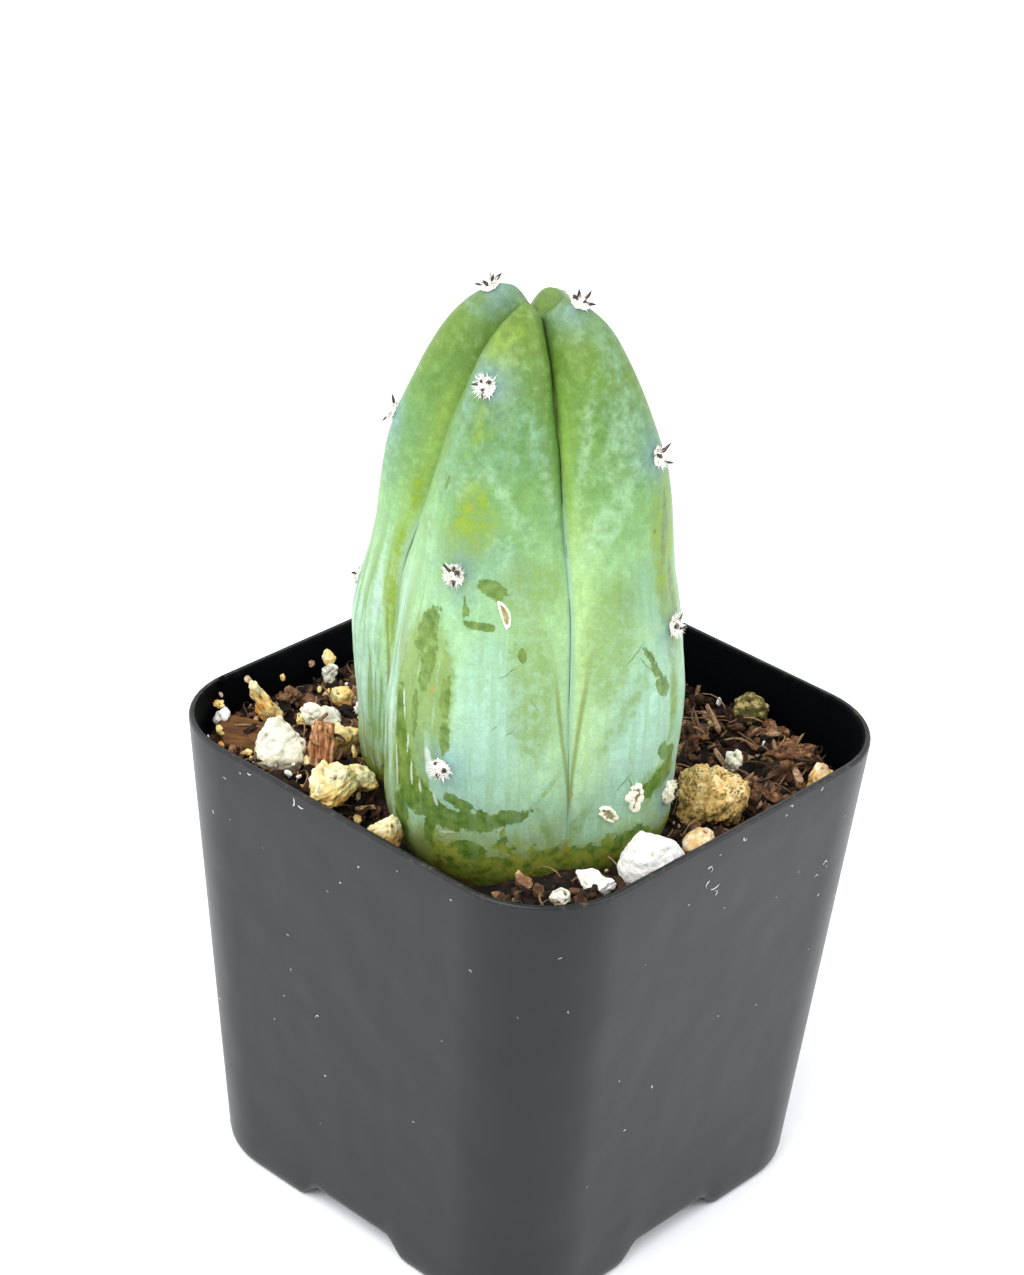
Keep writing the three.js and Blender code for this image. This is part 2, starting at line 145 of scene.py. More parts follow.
class Recipe:
    """A material while it is mixed: its node tree, its shader and the object's own coordinates.

    Its colours are written as they look in the bright room, and its tone turns them to the
    surface's own, which is darker."""

    def __init__(self, name: str, tone: float = 0.75) -> None:
        """Starts a material with a bare shader.

        Args:
            name: The material's name.
            tone: The share of each colour's light that the surface itself gives back.
        """
        self.tone = tone
        self.material = bpy.data.materials.new(name)
        self.material.use_nodes = True
        self.tree = self.material.node_tree
        self.shader = self.tree.nodes["Principled BSDF"]
        self.place = self.add("TexCoord", give="Object")

    def add(
        self,
        kind: str,
        sockets: dict | None = None,
        give: str = "",
        stops: Sequence[tuple[float, str]] = (),
        **settings: object,
    ) -> Socket:
        """Adds a node with its settings and links. A pattern follows the object, unless it is
        fed another place.

        Args:
            kind: The node's type, without its ShaderNode prefix.
            sockets: For each input, by name or number, a value, a hex colour or an output to link.
            give: The output to return, where it isn't the first.
            stops: The places and hex colours of a colour ramp.
            **settings: The node's own properties.

        Returns:
            The node's output.
        """
        node = self.tree.nodes.new(f"ShaderNode{kind}")
        for name, value in settings.items():
            setattr(node, name, value)
        for number, (place, colour) in enumerate(stops):
            elements = node.color_ramp.elements
            element = elements[number] if number < 2 else elements.new(place)
            element.position = place
            element.color = self.tinted(colour)
        if kind in PATTERNS:
            self.feed(node, "Vector", self.place)
        for key, value in (sockets or {}).items():
            self.feed(node, key, value)
        return next(o for o in node.outputs if o.enabled and give in ("", o.name))

    def tinted(self, hex_colour: str) -> tuple[float, float, float, float]:
        """The surface's own colour, linear, for a hex colour."""
        red, green, blue, alpha = linear(hex_colour)
        return red * self.tone, green * self.tone, blue * self.tone, alpha

    def feed(self, node: bpy.types.Node, key: str | int, value: object) -> None:
        """Sets or links one input of a node.

        Args:
            node: The node.
            key: The input's name or number.
            value: A value, a hex colour or an output to link.
        """
        if isinstance(key, int):
            socket = node.inputs[key]
        else:
            socket = next(s for s in node.inputs if s.enabled and s.name == key)
        if isinstance(value, Socket):
            self.tree.links.new(value, socket)
        else:
            socket.default_value = self.tinted(value) if isinstance(value, str) else value

    def between(self, value: Socket, start: float, end: float) -> Socket:
        """A share that rises softly from nought at start to one at end.

        Args:
            value: What is measured.
            start: Where the share is nought.
            end: Where it is one, which may be the lower of the two.

        Returns:
            The share.
        """
        sockets = span(value, start, end)
        if end < start:
            sockets = span(value, end, start, 1.0, 0.0)
        return self.add("MapRange", sockets, interpolation_type="SMOOTHSTEP")

    def product(self, *factors: Socket | float) -> Socket:
        """Multiplies some factors.

        Args:
            *factors: One or more outputs or values.

        Returns:
            Their product.
        """
        whole = factors[0]
        for factor in factors[1:]:
            whole = self.add("Math", {0: whole, 1: factor}, operation="MULTIPLY")
        return whole

    def paint(self, under: Socket | str, over: Socket | str, *factors: Socket | float) -> Socket:
        """Lays a colour over another.

        Args:
            under: The colour so far.
            over: The colour that is laid over it.
            *factors: What is multiplied to tell how much of it shows.

        Returns:
            The mixed colour.
        """
        share = self.product(*factors)
        return self.add("Mix", {"Factor": share, "A": under, "B": over}, data_type="RGBA")

    def finished(
        self, colour: Socket, rough: Socket | float, face: Socket | None = None, more: dict | None = None
    ) -> Finish:
        """Feeds the shader and gives the material.

        Args:
            colour: The base colour.
            rough: The roughness.
            face: The relief, where it has one.
            more: A value for each further input of the shader, by name.

        Returns:
            The material.
        """
        sockets = {"Base Color": colour, "Roughness": rough, **(more or {})}
        if face is not None:
            sockets["Normal"] = face
        for key, value in sockets.items():
            self.feed(self.shader, key, value)
        return self.material


def face_outwards(shape: Shape) -> None:
    """Turns a shape's faces outward."""
    bmesh.ops.recalc_face_normals(shape, faces=shape.faces[:])


def set_out(name: str, data: bpy.types.ID) -> bpy.types.Object:
    """Makes an object and puts it in the scene.

    Args:
        name: Its name.
        data: Its mesh, light or camera.

    Returns:
        The object.
    """
    made = bpy.data.objects.new(name, data)
    bpy.context.scene.collection.objects.link(made)
    return made


def make_piece(
    name: str,
    shape: Shape,
    finishes: Sequence[Finish],
    nodes: Sequence[str] = (),
    smooth: bool = True,
) -> bpy.types.Object:
    """Turns a shape into a piece of the object, and reports it.

    Args:
        name: The piece's name.
        shape: Its shape in the row frame, which is freed.
        finishes: Its materials, by material number.
        nodes: The frame's nodes that it stands for.
        smooth: Whether its faces are shaded as one surface.

    Returns:
        The piece.
    """
    mesh = bpy.data.meshes.new(name)
    shape.to_mesh(mesh)
    shape.free()
    for finish in finishes:
        mesh.materials.append(finish)
    mesh.polygons.foreach_set("use_smooth", [smooth] * len(mesh.polygons))
    piece = set_out(name, mesh)
    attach(piece, BODY)
    if nodes:
        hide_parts(*nodes)
    LOG.info("%s: %d faces", name, len(mesh.polygons))
    return piece


class Heap:
    """Many small closed bits in one shape. They are made in lots, which keeps the work quick."""

    def __init__(self, *layers: str, lot_size: int = 40) -> None:
        """Starts an empty heap.

        Args:
            *layers: The numbers that each vertex carries, by name.
            lot_size: How many bits make a lot.
        """
        self.layers = layers
        self.lot_size = lot_size
        self.count = 0
        self.whole = self.empty_shape()
        self.current = self.empty_shape()

    def empty_shape(self) -> Shape:
        """Makes an empty shape.

        Returns:
            The shape, with the heap's layers.
        """
        shape = bmesh.new()
        for name in self.layers:
            shape.verts.layers.float.new(name)
        return shape

    def lot(self) -> Shape:
        """Makes room for a bit.

        Returns:
            The shape in which it is made.
        """
        if self.count == self.lot_size:
            self.pour()
        self.count += 1
        return self.current

    def pour(self) -> None:
        """Moves the current lot into the whole."""
        mesh = bpy.data.meshes.new("lot")
        self.current.to_mesh(mesh)
        self.current.free()
        self.whole.from_mesh(mesh)
        bpy.data.meshes.remove(mesh)
        self.current = self.empty_shape()
        self.count = 0

    def finished(self) -> Shape:
        """Ends the heap.

        Returns:
            The whole, with its faces outward.
        """
        self.pour()
        self.current.free()
        face_outwards(self.whole)
        return self.whole


def drawn_on(
    shape: Shape, edges: Sequence[bmesh.types.BMEdge]
) -> tuple[list[bmesh.types.BMVert], list[bmesh.types.BMEdge]]:
    """Draws an edge loop out into a new one.

    Args:
        shape: The shape.
        edges: The loop.

    Returns:
        The new loop's vertices and edges.
    """
    drawn = bmesh.ops.extrude_edge_only(shape, edges=edges)["geom"]
    ring = [item for item in drawn if isinstance(item, bmesh.types.BMVert)]
    return ring, [item for item in drawn if isinstance(item, bmesh.types.BMEdge)]


def draw_strand(
    shape: Shape,
    path: Sequence[Vector],
    radii: Sequence[float],
    sides: int,
) -> list[bmesh.types.BMVert]:
    """Draws a closed strand out along a path, with its last point as a tip.

    Args:
        shape: The shape that gets the strand.
        path: The middle of each ring, and then the tip.
        radii: The radius of each ring.
        sides: How many sides a ring has.

    Returns:
        The strand's vertices.
    """
    facing = (path[1] - path[0]).to_track_quat("Z", "Y").to_matrix().to_4x4()
    ring = bmesh.ops.create_circle(
        shape, cap_ends=True, segments=sides, radius=radii[0], matrix=Matrix.Translation(path[0]) @ facing
    )["verts"]
    made = list(ring)
    edges = list({edge for vert in ring for edge in vert.link_edges})
    for number in range(1, len(path)):
        ring, edges = drawn_on(shape, edges)
        step = path[number] - path[number - 1]
        bmesh.ops.translate(shape, verts=ring, vec=step)
        if number < len(radii):
            shrink = radii[number] / radii[number - 1]
            around = Matrix.Translation(-path[number])
            bmesh.ops.scale(shape, verts=ring, vec=(shrink, shrink, shrink), space=around)
            made += ring
    bmesh.ops.pointmerge(shape, verts=ring, merge_co=path[-1])
    return made


@dataclass(frozen=True)
class MouldedPolypropylene:
    """Injection moulded polypropylene, coloured through: nearly black, with a satin sheen that
    picks up the pale room at a flat angle. Handling leaves lint, dust and soft smears."""

    name: str = "polypropylene, moulded, dark grey"
    colour: str = "#0B0D10"
    worn: str = "#111317"
    dust: str = "#6E6152"
    roughness: float = 0.36
    smear: float = 14.0
    shine: float = 0.4
    dusty: float = 0.5
    dent: float = 7.0
    grain: float = 0.25
    rim: float = 56.2
    top: float = 57.0

    def material(self) -> Finish:
        """Mixes the finish.

        Returns:
            The material.
        """
        mix = Recipe(self.name)
        smear = mix.add("TexNoise", grain(self.smear, 3.0))
        colour = mix.add("ValToRGB", {0: smear}, stops=((0.35, self.colour), (0.8, self.worn)))
        height = mix.add("SeparateXYZ", {0: mix.place}, give="Z")
        near_rim = mix.add("MapRange", span(height, self.rim * MM, self.top * MM))
        specks = mix.add("TexNoise", grain(0.9, 4.0))
        dusty = mix.add("MapRange", span(specks, 0.56, 0.7))
        dusty = mix.product(dusty, near_rim, self.dusty)
        colour = mix.paint(colour, self.dust, dusty)
        rough = mix.add("MapRange", span(smear, 0.0, 1.0, self.roughness - 0.05, self.roughness + 0.08))
        rough = mix.add("Math", {0: rough, 1: dusty}, operation="ADD")
        dents = mix.add("TexNoise", grain(self.dent, 1.0))
        dented = mix.add("Bump", relief(dents, 0.6, 0.35))
        fine = mix.add("TexNoise", grain(self.grain, 2.0))
        skin = mix.add("Bump", relief(fine, 0.08, 0.05, dented))
        return mix.finished(colour, rough, skin, {"IOR": 1.49, "Specular IOR Level": self.shine})


# The inside of the pot: the same plastic, matt and with little shine, in a darker colour that is painted
# shade.
INNER_WALL_PAINTED_SHADE = MouldedPolypropylene(
    "polypropylene, moulded, dark grey, matt inside", "#04050A", "#06080D",
    roughness=0.6, shine=0.04, dusty=0.1,
)


@dataclass(frozen=True)
class CoirAndPeat:
    """Potting mix of coir, peat and composted bark: nearly black where it is damp, with brown
    and reddish bits. Reads the tint that each crumb carries."""

    name: str = "coir and peat, milled, damp"
    stops: tuple[tuple[float, str], ...] = (
        (0.0, "#0B0705"), (0.35, "#241710"), (0.6, "#573A26"), (0.8, "#8E6648"), (0.93, "#C09470"),
        (1.0, "#E8D2B0"),
    )
    grain: float = 0.35

    def material(self) -> Finish:
        """Mixes the finish.

        Returns:
            The material.
        """
        mix = Recipe(self.name)
        tint = mix.add("Attribute", give="Fac", attribute_name="tint")
        fine = mix.add("TexNoise", grain(self.grain, 5.0))
        shift = mix.add("MapRange", span(fine, 0.0, 1.0, -0.22, 0.22))
        tint = mix.add("Math", {0: tint, 1: shift}, operation="ADD", use_clamp=True)
        colour = mix.add("ValToRGB", {0: tint}, stops=self.stops)
        face = mix.add("Bump", relief(fine, 0.7, 0.15))
        return mix.finished(colour, 0.88, face, {"Specular IOR Level": 0.3})


@dataclass(frozen=True)
class PorousStone:
    """Broken pumice or puffed perlite: a dull froth of glass, pale on its skin and darker in its pores.
    The hollows between its lumps and its cracks are darkened as painted shade, and it turns darker
    towards its underside, partly from soil staining and partly as painted shade. Reads both from the mesh."""

    name: str
    pale: str
    body: str
    # The colour of the blotches and of the underside: partly soil staining, partly painted shade.
    stain_and_shade: str
    dark_hollows: str
    blotch: float = 1.3
    stain_and_shade_start: float = 0.55
    bubble: float = 0.5
    holes: float = 0.7
    spongy: float = 0.42

    def material(self) -> Finish:
        """Mixes the finish.

        Returns:
            The material.
        """
        mix = Recipe(self.name, 0.92)
        blotch = mix.add("TexNoise", grain(self.blotch, 5.0, 0.65))
        # Darker towards the underside, as the mesh carries it: partly soil staining, partly painted shade.
        stain_and_shade_share = mix.add("Attribute", give="Fac", attribute_name="stain_and_shade")
        blotch = mix.add("Math", {0: stain_and_shade_share, 1: 0.3, 2: blotch}, operation="MULTIPLY_ADD")
        stops = ((0.4, self.pale), (self.stain_and_shade_start + 0.22, self.stain_and_shade), (self.stain_and_shade_start, self.body))
        colour = mix.add("ValToRGB", {0: blotch}, stops=stops)
        grit = mix.add("TexNoise", grain(0.22, 4.0))
        bubble = mix.add("TexVoronoi", {"Scale": per(self.bubble)}, give="Distance")
        burst = mix.add("TexNoise", grain(self.bubble * 3.1, 2.0))
        burst = mix.add("MapRange", span(burst, 0.42, 0.6, 0.0, self.holes))
        hole = mix.add("MapRange", span(bubble, self.spongy, self.spongy - 0.22))
        speck = mix.product(hole, burst)
        # The colour of the pores, laid as painted shade over the hollows and cracks that the mesh also
        # carries.
        dark_hollows = mix.add("Attribute", give="Fac", attribute_name="dark_hollows")
        dark = mix.add("Math", {0: dark_hollows, 1: speck}, operation="MAXIMUM", use_clamp=True)
        colour = mix.paint(colour, self.dark_hollows, dark)
        face = mix.add("Bump", relief(grit, 0.7, 0.16))
        return mix.finished(colour, 0.85, face, {"Specular IOR Level": 0.35})


@dataclass(frozen=True)
class PineBark:
    """Broken pine bark and wood: brown to fox red, with lighter fibres along its length."""

    name: str
    dark: str
    body: str
    light: str
    fibre: float = 0.32
    length: float = 3.4

    def material(self) -> Finish:
        """Mixes the finish.

        Returns:
            The material.
        """
        mix = Recipe(self.name)
        along = mix.add("Attribute", give="Vector", attribute_name="grain")
        squeeze = (1.0, self.fibre / self.length, 1.0)
        drawn = mix.add("VectorMath", {0: along, 1: squeeze}, operation="MULTIPLY")
        fibres = mix.add("TexNoise", {"Vector": drawn, **grain(self.fibre, 4.0)})
        stops = ((0.3, self.dark), (0.72, self.light), (0.5, self.body))
        colour = mix.add("ValToRGB", {0: fibres}, stops=stops)
        specks = mix.add("TexNoise", grain(0.5, 3.0))
        dark = mix.add("MapRange", span(specks, 0.6, 0.7, 0.0, 0.8))
        colour = mix.paint(colour, self.dark, dark)
        face = mix.add("Bump", relief(fibres, 0.8, 0.15))
        return mix.finished(colour, 0.75, face, {"Specular IOR Level": 0.35})


@dataclass(frozen=True)
class PlantFibre:
    """Coir fibre, root and lint: a thin dry strand, a little lighter towards its tint."""

    name: str
    dark: str
    light: str

    def material(self) -> Finish:
        """Mixes the finish.

        Returns:
            The material.
        """
        mix = Recipe(self.name)
        tint = mix.add("Attribute", give="Fac", attribute_name="tint")
        uneven = mix.add("TexNoise", grain(0.8, 2.0))
        tint = mix.product(tint, uneven)
        colour = mix.add("ValToRGB", {0: tint}, stops=((0.05, self.dark), (0.55, self.light)))
        return mix.finished(colour, 0.6)


@dataclass(frozen=True)
class AreoleWool:
    """Felted plant wool: matt and off-white, with brown painted shade in the hollows of the tuft and a little
    brown in random patches.
    """

    pale: str = "#FFFDF6"
    # The colour of the painted shade in the tuft's hollows.
    hollow_shade: str = "#A08450"

    def material(self) -> Finish:
        """Mixes the finish.

        Returns:
            The material.
        """
        mix = Recipe("areole wool, felted", 0.95)
        depth = mix.add("Attribute", give="Fac", attribute_name="dark_hollows")
        uneven = mix.add("TexNoise", grain(0.35, 3.0))
        patchy = mix.add("MapRange", span(uneven, 0.55, 0.75, 0.0, 0.3))
        # Painted shade in the hollows of the tuft, with random patches over it.
        hollow_shade = mix.add("Math", {0: depth, 1: patchy}, operation="ADD", use_clamp=True)
        colour = mix.paint(self.pale, self.hollow_shade, hollow_shade)
        face = mix.add("Bump", relief(uneven, 0.6, 0.1))
        return mix.finished(colour, 0.95, face, {"Sheen Weight": 0.3})


@dataclass(frozen=True)
class HornSpine:
    """A spine of hard horn-like tissue: dark brown to black, brown at the root, half gloss."""

    tip: str = "#120D0B"
    root: str = "#6E4A20"

    def material(self) -> Finish:
        """Mixes the finish.

        Returns:
            The material.
        """
        mix = Recipe("spine, horny, dark")
        near_root = mix.add("Attribute", give="Fac", attribute_name="tint")
        streak = mix.add("TexNoise", grain(0.3, 2.0))
        share = mix.product(near_root, streak)
        colour = mix.add("ValToRGB", {0: share}, stops=((0.1, self.tip), (0.6, self.root)))
        return mix.finished(colour, 0.42, more={"IOR": 1.54})


@dataclass(frozen=True)
class ScarCork:
    """Dry corky callus over an old wound: cream lips, an olive tan floor and brown crevices."""

    lip: str = "#FFFBE4"
    floor: str = "#A69860"
    crevice: str = "#4E3E1C"

    def material(self) -> Finish:
        """Mixes the finish.

        Returns:
            The material.
        """
        mix = Recipe("cork callus, dried", 0.9)
        crust = mix.add("TexNoise", grain(0.3, 4.0))
        uneven = mix.add("MapRange", span(crust, 0.0, 1.0, -0.5, 0.5))
        colour = self.lip
        for layer, over in (("floor", self.floor), ("dark_hollows", self.crevice)):
            share = mix.add("Attribute", give="Fac", attribute_name=layer)
            share = mix.add("Math", {0: share, 1: uneven}, operation="ADD", use_clamp=True)
            colour = mix.paint(colour, over, share)
        face = mix.add("Bump", relief(crust, 0.7, 0.15))
        return mix.finished(colour, 0.7, face)


FAR_OFF = 9.0


@dataclass(frozen=True)
class Mark:
    """A mark on the skin, by where its middle lies round and up the stem, in millimetres."""

    turn: float
    height: float
    across: float
    up: float
    tilt: float = 0.0


class MarkKind(Enum):
    """What a mark on the skin is."""

    RUBBED = "wax rubbed off, with torn edges"
    THIN = "wax worn thin, with soft edges"
    WHOLE = "wax left whole down to the mix"
    SUNNED = "yellowed in the sun, with soft edges"
    TEAL = "thick blue wax, with soft edges"
    PALE = "streak of pale wax, with soft edges"
    OLIVE = "green showing through thin wax, with soft edges"
    # WAX marks are painted highlights: small pale streaks that stand in for reflections of the bright room on
    # glossy skin.
    WAX = "white wax residue"
    SCRATCH = "thin scratch"
    RUST = "small rusty spot"

    @property
    def layer(self) -> str:
        """The name of what the mesh carries about it."""
        return self.name.lower()

    @property
    def soft(self) -> bool:
        """Whether its edge is soft, and not torn."""
        return self is not MarkKind.RUBBED


def marks(*rows: Row) -> tuple[Mark, ...]:
    """The marks of some rows of numbers."""
    return tuple(Mark(*row) for row in rows)


MARKS: dict[MarkKind, tuple[Mark, ...]] = {
    MarkKind.RUBBED: marks(
        (-98, 59.6, 2.2, 2.2, -20), (-90, 57.8, 3, 1.8), (-77, 57, 3.2, 1.35), (-65, 57.4, 3.4, 1.25, 4),
        (-53, 58.4, 2.6, 0.9, 10), (-72, 59.3, 1.9, 0.7, -12), (-66, 83.7, 1.7, 1.1, -28),
        (-94, 77.4, 1.2, 3, -16), (-90, 73.6, 0.8, 2.8, -8), (-103, 66, 1.1, 4.2, 4),
        (-101, 61.6, 1.4, 3, 4), (-80, 71, 0.6, 3.2, 2), (-79, 66.4, 0.6, 2.2), (-94, 68, 0.6, 3),
        (-84, 55.2, 0.7, 2.6, -8), (-68, 53.2, 2.2, 1.6, 10), (-57, 51.8, 2.6, 1.6, 12),
        (-19, 52.4, 2.6, 1.7, 12), (-2, 53.6, 2.6, 1.9, 12), (12, 60.4, 2.6, 1.3, 5),
        (5, 59.6, 1.6, 1.2, 20), (16, 62, 1.2, 1.6, -10), (11, 63.6, 0.8, 1.3, 20), (2, 75.8, 0.4, 1.5, 36),
        (8, 71.8, 1, 1.4, 24), (5, 73.8, 0.5, 1.1, 30), (-69, 79.6, 2, 0.5, 4), (-77, 81.2, 0.35, 1.3, 6),
        (16, 88.4, 0.7, 4.6, -6), (21, 80.6, 0.7, 4, 4), (-51, 77, 0.45, 0.95, 8), (8, 88.9, 0.3, 0.4),
        (-96, 93.4, 0.28, 1.4, -10), (-101, 54.6, 1.4, 2.6, 10), (60, 84, 1.6, 3, 20),
        (68, 77, 0.6, 2.6, -8), (110, 70, 2.6, 1.2, -30), (104, 66, 1, 2.4, 6), (165, 63, 1.6, 4.6, 10),
        (172, 72, 0.7, 3), (-165, 78, 0.8, 3.5, 8), (84, 56.5, 3.4, 1.2, -8), (140, 55.5, 3, 1.4, 10),
    ),
    MarkKind.THIN: marks(
        (-93, 69, 4.4, 10.5, -3), (-97, 62, 3.6, 5), (14, 80, 0.9, 6, 4), (15, 70, 0.6, 5),
        (9, 60, 2.4, 1.6, 10), (120, 66, 3, 6), (-168, 66, 2, 8),
    ),
    MarkKind.WHOLE: marks((-102, 52, 4.8, 4.5), (150, 52, 4, 4)),
    MarkKind.SUNNED: marks(
        (-78, 90.4, 1.9, 3.8), (-80, 86.4, 1, 2), (-86, 106.8, 1.2, 2.1), (-86, 100.2, 0.55, 1.8),
        (16, 88, 2.2, 8), (21, 79, 1.6, 5), (-133, 88.6, 0.5, 1.6, -6), (-135, 82, 0.6, 2.2, -6),
        (-136, 76.4, 1, 2.8, -6), (75, 96, 2.4, 4), (62, 74, 2.2, 4.6), (150, 92, 1.8, 4),
    ),
    MarkKind.TEAL: marks(
        (-62, 71, 3, 8, 4), (-70, 60.5, 4, 2.4), (2, 70, 4, 7, -10), (-8, 62, 4, 4), (-116, 74, 2, 6),
        (-96, 98.8, 1.5, 3.2, 8), (-95, 94.2, 1.6, 3.2), (-74, 96.6, 3.2, 2, 20), (-60, 99, 2.6, 3.4, 10),
        (-62, 86, 2, 3.4, 30), (-70, 63, 3.4, 2.8), (-143, 93, 1.6, 4.6), (4, 100.8, 2.6, 3.6, 20),
        (6, 82.6, 3.6, 3.6, 10), (16, 94, 1.8, 1.6), (20, 75, 2.6, 2.2), (8, 107, 1.6, 2.6, -10),
        (90, 90, 3, 4, 20), (130, 78, 3, 5), (-170, 90, 3, 5),
    ),
    MarkKind.PALE: marks(
        (-62, 92.3, 0.7, 5.2, 34), (-40, 92, 0.5, 5.5, 6), (-13, 91, 1.3, 6.2, -30), (-100, 86, 0.6, 4, 8),
        (-56, 84, 0.8, 5, 24), (-6, 98, 1.4, 3.4, -20), (-84, 93.6, 1.4, 1.2, 20), (-22, 98, 0.5, 5),
    ),
    MarkKind.OLIVE: marks(
        (-84, 86.5, 2.2, 4), (-46, 73, 2.4, 8, 2), (-14, 78, 2.6, 7, -8), (-50, 84, 3, 3),
        (-37, 56.6, 0.45, 2.7, 22), (-24, 56.5, 0.45, 2.6, -26), (-39, 61, 0.22, 2.9, -38),
        (-44, 74, 1.2, 3.6, 10), (-8, 70, 0.9, 4.6, -30), (-76, 103, 1, 2.6),
    ),
    # Painted highlights: pale streaks that stand in for reflections on the glossy rubbed skin low on the
    # left.
    MarkKind.WAX: marks(
        (-86, 62.8, 0.45, 1.9, 6), (-90, 59.6, 0.2, 0.8, 14), (-95, 60.4, 0.2, 1.4, 7),
        (-98, 63.6, 0.16, 1.2, -6), (-82, 58.6, 0.22, 0.9, 22), (-76, 55.4, 0.9, 0.14, 20),
        (-113, 64, 0.2, 2.8, 7), (-120, 67.4, 0.2, 2.2, -5), (-105, 60, 0.2, 2.4, 5),
        (-101, 68, 0.2, 1.6, 8),
    ),
    MarkKind.SCRATCH: marks(
        (-3, 76.6, 0.06, 1.4, -45), (-6, 75.8, 0.05, 1.1, -48), (0, 75, 0.06, 1.2, 42),
        (-7, 61.4, 0.07, 1.1, -42), (-4, 61.2, 0.08, 0.7, 20), (-56, 75, 0.05, 1.1, -52),
        (-45, 71.5, 0.04, 0.9, 30), (2, 75.8, 0.05, 1, 38), (4, 75.2, 0.05, 0.9, 34),
        (-54, 68.4, 0.05, 0.5, -60), (-60, 68.9, 0.05, 0.4, -50), (-108, 70.7, 0.14, 0.22),
    ),
    MarkKind.RUST: marks(
        (-27, 60.4, 0.2, 0.25), (-28, 53.7, 0.26, 0.75), (-86, 71.5, 0.2, 0.7, -8), (-80, 92, 0.22, 0.25),
        (-83, 85, 0.12, 0.3),
    ),
}


SMALL = (MarkKind.WAX, MarkKind.SCRATCH, MarkKind.RUST)
CARRIED = tuple(kind for kind in MarkKind if kind not in SMALL)


@dataclass(frozen=True)
class Flank:
    """A band of colour beside a groove: which groove, on which side, how wide and how high.

    Widths are in ribs from the groove, and heights in millimetres. A side of 1 is the rising side,
    anticlockwise from above, and -1 the falling side."""

    groove: int
    side: int
    near: float
    far: float
    low: float
    high: float
    fade: float
    colour: str
    weight: float


FLANKS = (
    Flank(1, -1, 0.02, 0.16, 74, 106, 8, "#A4C952", 0.75),
    Flank(1, -1, 0.01, 0.1, 66, 82, 6, "#C4EA7E", 0.8),
    # Painted highlight: a thin light line along the front rib's edge where it folds over the left rib.
    Flank(1, 1, 0, 0.03, 72, 108, 5, "#D3E8C4", 0.75),
    # Painted shade: a dark olive band in the fold beside the front-right groove near the crown.
    Flank(2, 1, 0, 0.14, 101, 112, 5, "#749E3C", 0.8),
    Flank(2, 1, 0, 0.13, 92, 106, 6, "#A2CC62", 0.85),
    Flank(2, 1, 0, 0.22, 64, 95, 8, "#CBF09A", 0.7),
    Flank(2, -1, 0.03, 0.28, 66, 90, 10, "#B6E394", 0.55),
    # Painted shade: a dark band on the front rib's side of the same groove near the crown.
    Flank(2, -1, 0, 0.08, 96, 112, 6, "#5F8A30", 0.6),
    *(Flank(groove, side, 0.02, 0.14, 66, 106, 8, "#A3CC58", 0.6) for groove, side in ((0, 1), (4, -1))),
    *(Flank(3, side, 0.02, 0.16, 66, 106, 8, "#9CC44C", 0.6) for side in (-1, 1)),
)


@dataclass(frozen=True)
class Wash:
    """A colour laid over the skin: its area, how thickly, and the pattern that lets it through,
    from nothing at the pattern's start to all of it at its end."""

    colour: str
    area: str
    weight: float
    pattern: str = ""
    start: float = 0.0
    end: float = 1.0


UNDER_RUBBING = (
    Wash("#BCE6C0", "pale", 0.4, "mottle", 0.2, 0.68), Wash("#84A244", "olive", 0.62, "mottle", 0.3, 0.6),
    Wash("#84A244", "pleated", 0.65, "streak", 0.5, 0.6),
    Wash("#CFEEDD", "pleated", 0.8, "streak", 0.48, 0.38),
    Wash("#8FB05A", "thin", 0.92, "streak", 0.26, 0.46), Wash("#92B12E", "sunned", 0.9, "mottle", 0.3, 0.6),
    # The second wash here is a painted shadow: a grey ring right round each areole's wool. The bluish wash
    # near the wool is the skin's own tint.
    Wash("#86B2B8", "near_wool", 0.8, "cloud", 0.3, 0.6), Wash("#7C8688", "painted_shadow_at_wool", 0.35, "cloud", 0.3, 0.6),
)
OVER_ALL = (
    # The first wash paints the highlights of the WAX marks; the scratches and rusty spots are the skin's own.
    Wash("#EDF6EC", "wax", 0.8, "mottle", 0.28, 0.46), Wash("#4A6A35", "scratch", 0.75),
    Wash("#C9A24A", "rust", 0.65),
)


